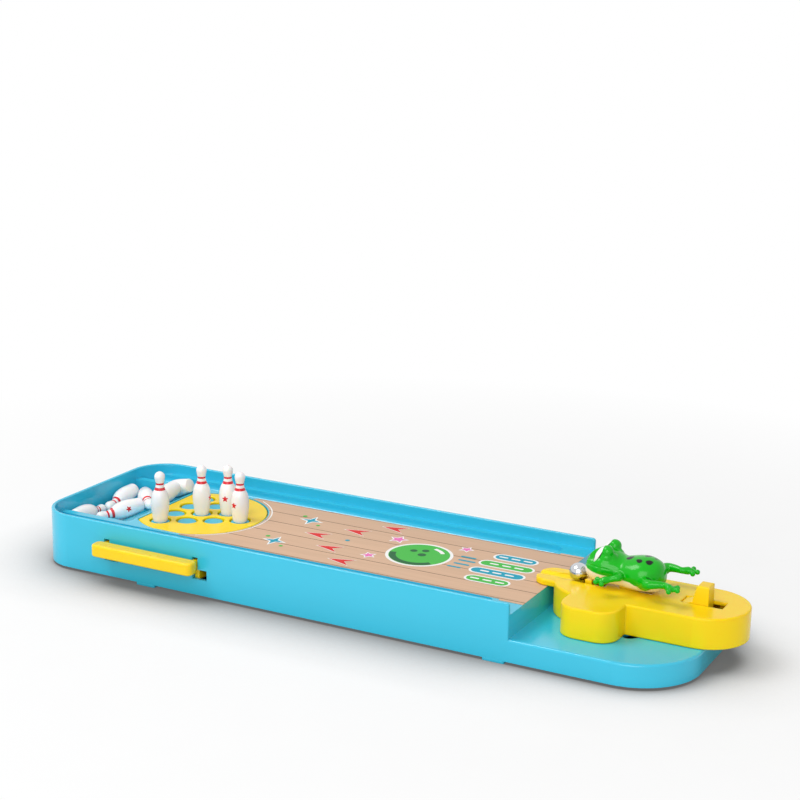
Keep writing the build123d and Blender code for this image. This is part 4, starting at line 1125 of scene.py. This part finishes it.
class BOWLING_OT_ball(bpy.types.Operator):
    """Polish the steel ball"""

    bl_idname = "bowling.ball"
    bl_label = "Ball"

    def execute(self, context):
        low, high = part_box("steel_ball")
        centre = (Vector(low) + Vector(high)) / 2
        radius = (high[2] - low[2]) / 2
        mesh = bmesh.new()
        bmesh.ops.create_icosphere(mesh, subdivisions=5, radius=radius, matrix=Matrix.Translation(centre))
        data = bpy.data.meshes.new("ball_skin")
        mesh.to_mesh(data)
        mesh.free()
        data.polygons.foreach_set("use_smooth", [True] * len(data.polygons))
        data.materials.append(polished_steel("ball_steel", (214, 216, 220), 0.04, 0.05))
        ball = linked("ball_skin", data)
        finish_piece(ball, "ball", "polished_steel", "steel_ball")
        return {"FINISHED"}


class BOWLING_OT_frog(bpy.types.Operator):
    """Sculpt and paint the frog on the striker"""

    bl_idname = "bowling.frog"
    bl_label = "Frog"

    def execute(self, context):
        figure = sculpt_frog(context.scene.bowling_frog)
        figure.data.materials.append(frog_skin("frog_paint"))
        finish_piece(figure, "striker", "green_plastic", "frog_body", "frog_belly")
        for side, name in ((1, "far"), (-1, "near")):
            finish_piece(build_eye(f"frog_eye_{name}", side, figure.data.materials[0]), "striker", "green_plastic")
        return {"FINISHED"}


class BOWLING_OT_fasteners(bpy.types.Operator):
    """Wind the springs and dress the screws and washers"""

    bl_idname = "bowling.fasteners"
    bl_label = "Springs and screws"

    def execute(self, context):
        zinc = polished_steel("screw_zinc", (176, 178, 182), 0.22, 0.2)
        dress(
            zinc, "cover_screws", "plate_screws", "pad_screws", "handle_screws", "housing_screws",
            "hub_screw", "guide_screw", "frog_screw",
        )
        dress(polished_steel("washer_steel", (190, 190, 190), 0.3, 0.2), "hub_washer", "guide_washer")
        wire = polished_steel("spring_wire", (168, 170, 174), 0.2, 0.15)
        low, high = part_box("lift_spring")
        middle = (Vector(low) + Vector(high)) / 2
        foot = Vector((middle.x, middle.y, low[2]))
        length = high[2] - low[2]
        lift = coil_mesh("lift_coil", foot, (0, 0, 1), length, 3.2 * MM, 0.4 * MM, 7, wire)
        finish_piece(lift, "tray", "spring_steel", "lift_spring")
        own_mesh(lift)
        low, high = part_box("striker_spring")
        middle = (Vector(low) + Vector(high)) / 2
        start = Vector((low[0], middle.y, middle.z))
        length = high[0] - low[0]
        push = coil_mesh("striker_coil", start, (1, 0, 0), length, 1.8 * MM, 0.3 * MM, 9, wire)
        finish_piece(push, "launcher", "spring_steel", "striker_spring")
        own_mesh(push)
        return {"FINISHED"}


class BOWLING_OT_stage(bpy.types.Operator):
    """Set the white floor, the soft lights and the camera"""

    bl_idname = "bowling.stage"
    bl_label = "Stage"

    def execute(self, context):
        settings = context.scene.bowling_stage
        corners = [(x * FLOOR_HALF, y * FLOOR_HALF, 0) for x, y in ((-1, -1), (1, -1), (1, 1), (-1, 1))]
        floor = mesh_object("floor", corners, [(0, 1, 2, 3)], [studio_floor("floor_white")], False)
        white_room(settings.sky)
        softbox("key", KEY_PLACE, KEY_TARGET, KEY_SIZE, settings.key)
        softbox("fill", FILL_PLACE, FILL_TARGET, FILL_SIZE, settings.fill)
        context.scene.camera = photo_camera(settings.lens)
        context.scene.view_settings.view_transform = "Standard"
        return {"FINISHED"}


class BOWLING_PT_panel(bpy.types.Panel):
    """Settings and steps of the bowling game"""

    bl_idname = "BOWLING_PT_panel"
    bl_label = "Tabletop Bowling"
    bl_space_type = "VIEW_3D"
    bl_region_type = "UI"
    bl_category = "Bowling"

    def draw(self, context):
        """One box for each group of settings, then a button for each step"""
        for group in SETTINGS:
            box = self.layout.box()
            settings = getattr(context.scene, group)
            for name in settings.bl_rna.properties.keys():
                if name not in {"rna_type", "name"}:
                    box.prop(settings, name)
        for operator in OPERATORS:
            self.layout.operator(operator.bl_idname)


SETTINGS = {
    "bowling_plastics": PlasticSettings,
    "bowling_print": PrintSettings,
    "bowling_pins": PinSettings,
    "bowling_frog": FrogSettings,
    "bowling_stage": StageSettings,
}
OPERATORS = (
    BOWLING_OT_tray,
    BOWLING_OT_lane_print,
    BOWLING_OT_pin_setter,
    BOWLING_OT_pins,
    BOWLING_OT_launcher,
    BOWLING_OT_ball,
    BOWLING_OT_frog,
    BOWLING_OT_fasteners,
    BOWLING_OT_stage,
)


def register():
    for name, group in SETTINGS.items():
        bpy.utils.register_class(group)
        setattr(bpy.types.Scene, name, bpy.props.PointerProperty(type=group))
    for operator in OPERATORS:
        bpy.utils.register_class(operator)
    bpy.utils.register_class(BOWLING_PT_panel)


def unregister():
    bpy.utils.unregister_class(BOWLING_PT_panel)
    for operator in reversed(OPERATORS):
        bpy.utils.unregister_class(operator)
    for name, group in SETTINGS.items():
        delattr(bpy.types.Scene, name)
        bpy.utils.unregister_class(group)


def main():
    register()
    bpy.ops.bowling.tray()
    bpy.ops.bowling.lane_print()
    bpy.ops.bowling.pin_setter()
    bpy.ops.bowling.pins()
    bpy.ops.bowling.launcher()
    bpy.ops.bowling.ball()
    bpy.ops.bowling.frog()
    bpy.ops.bowling.fasteners()
    bpy.ops.bowling.stage()


if __name__ == "__main__":
    main()
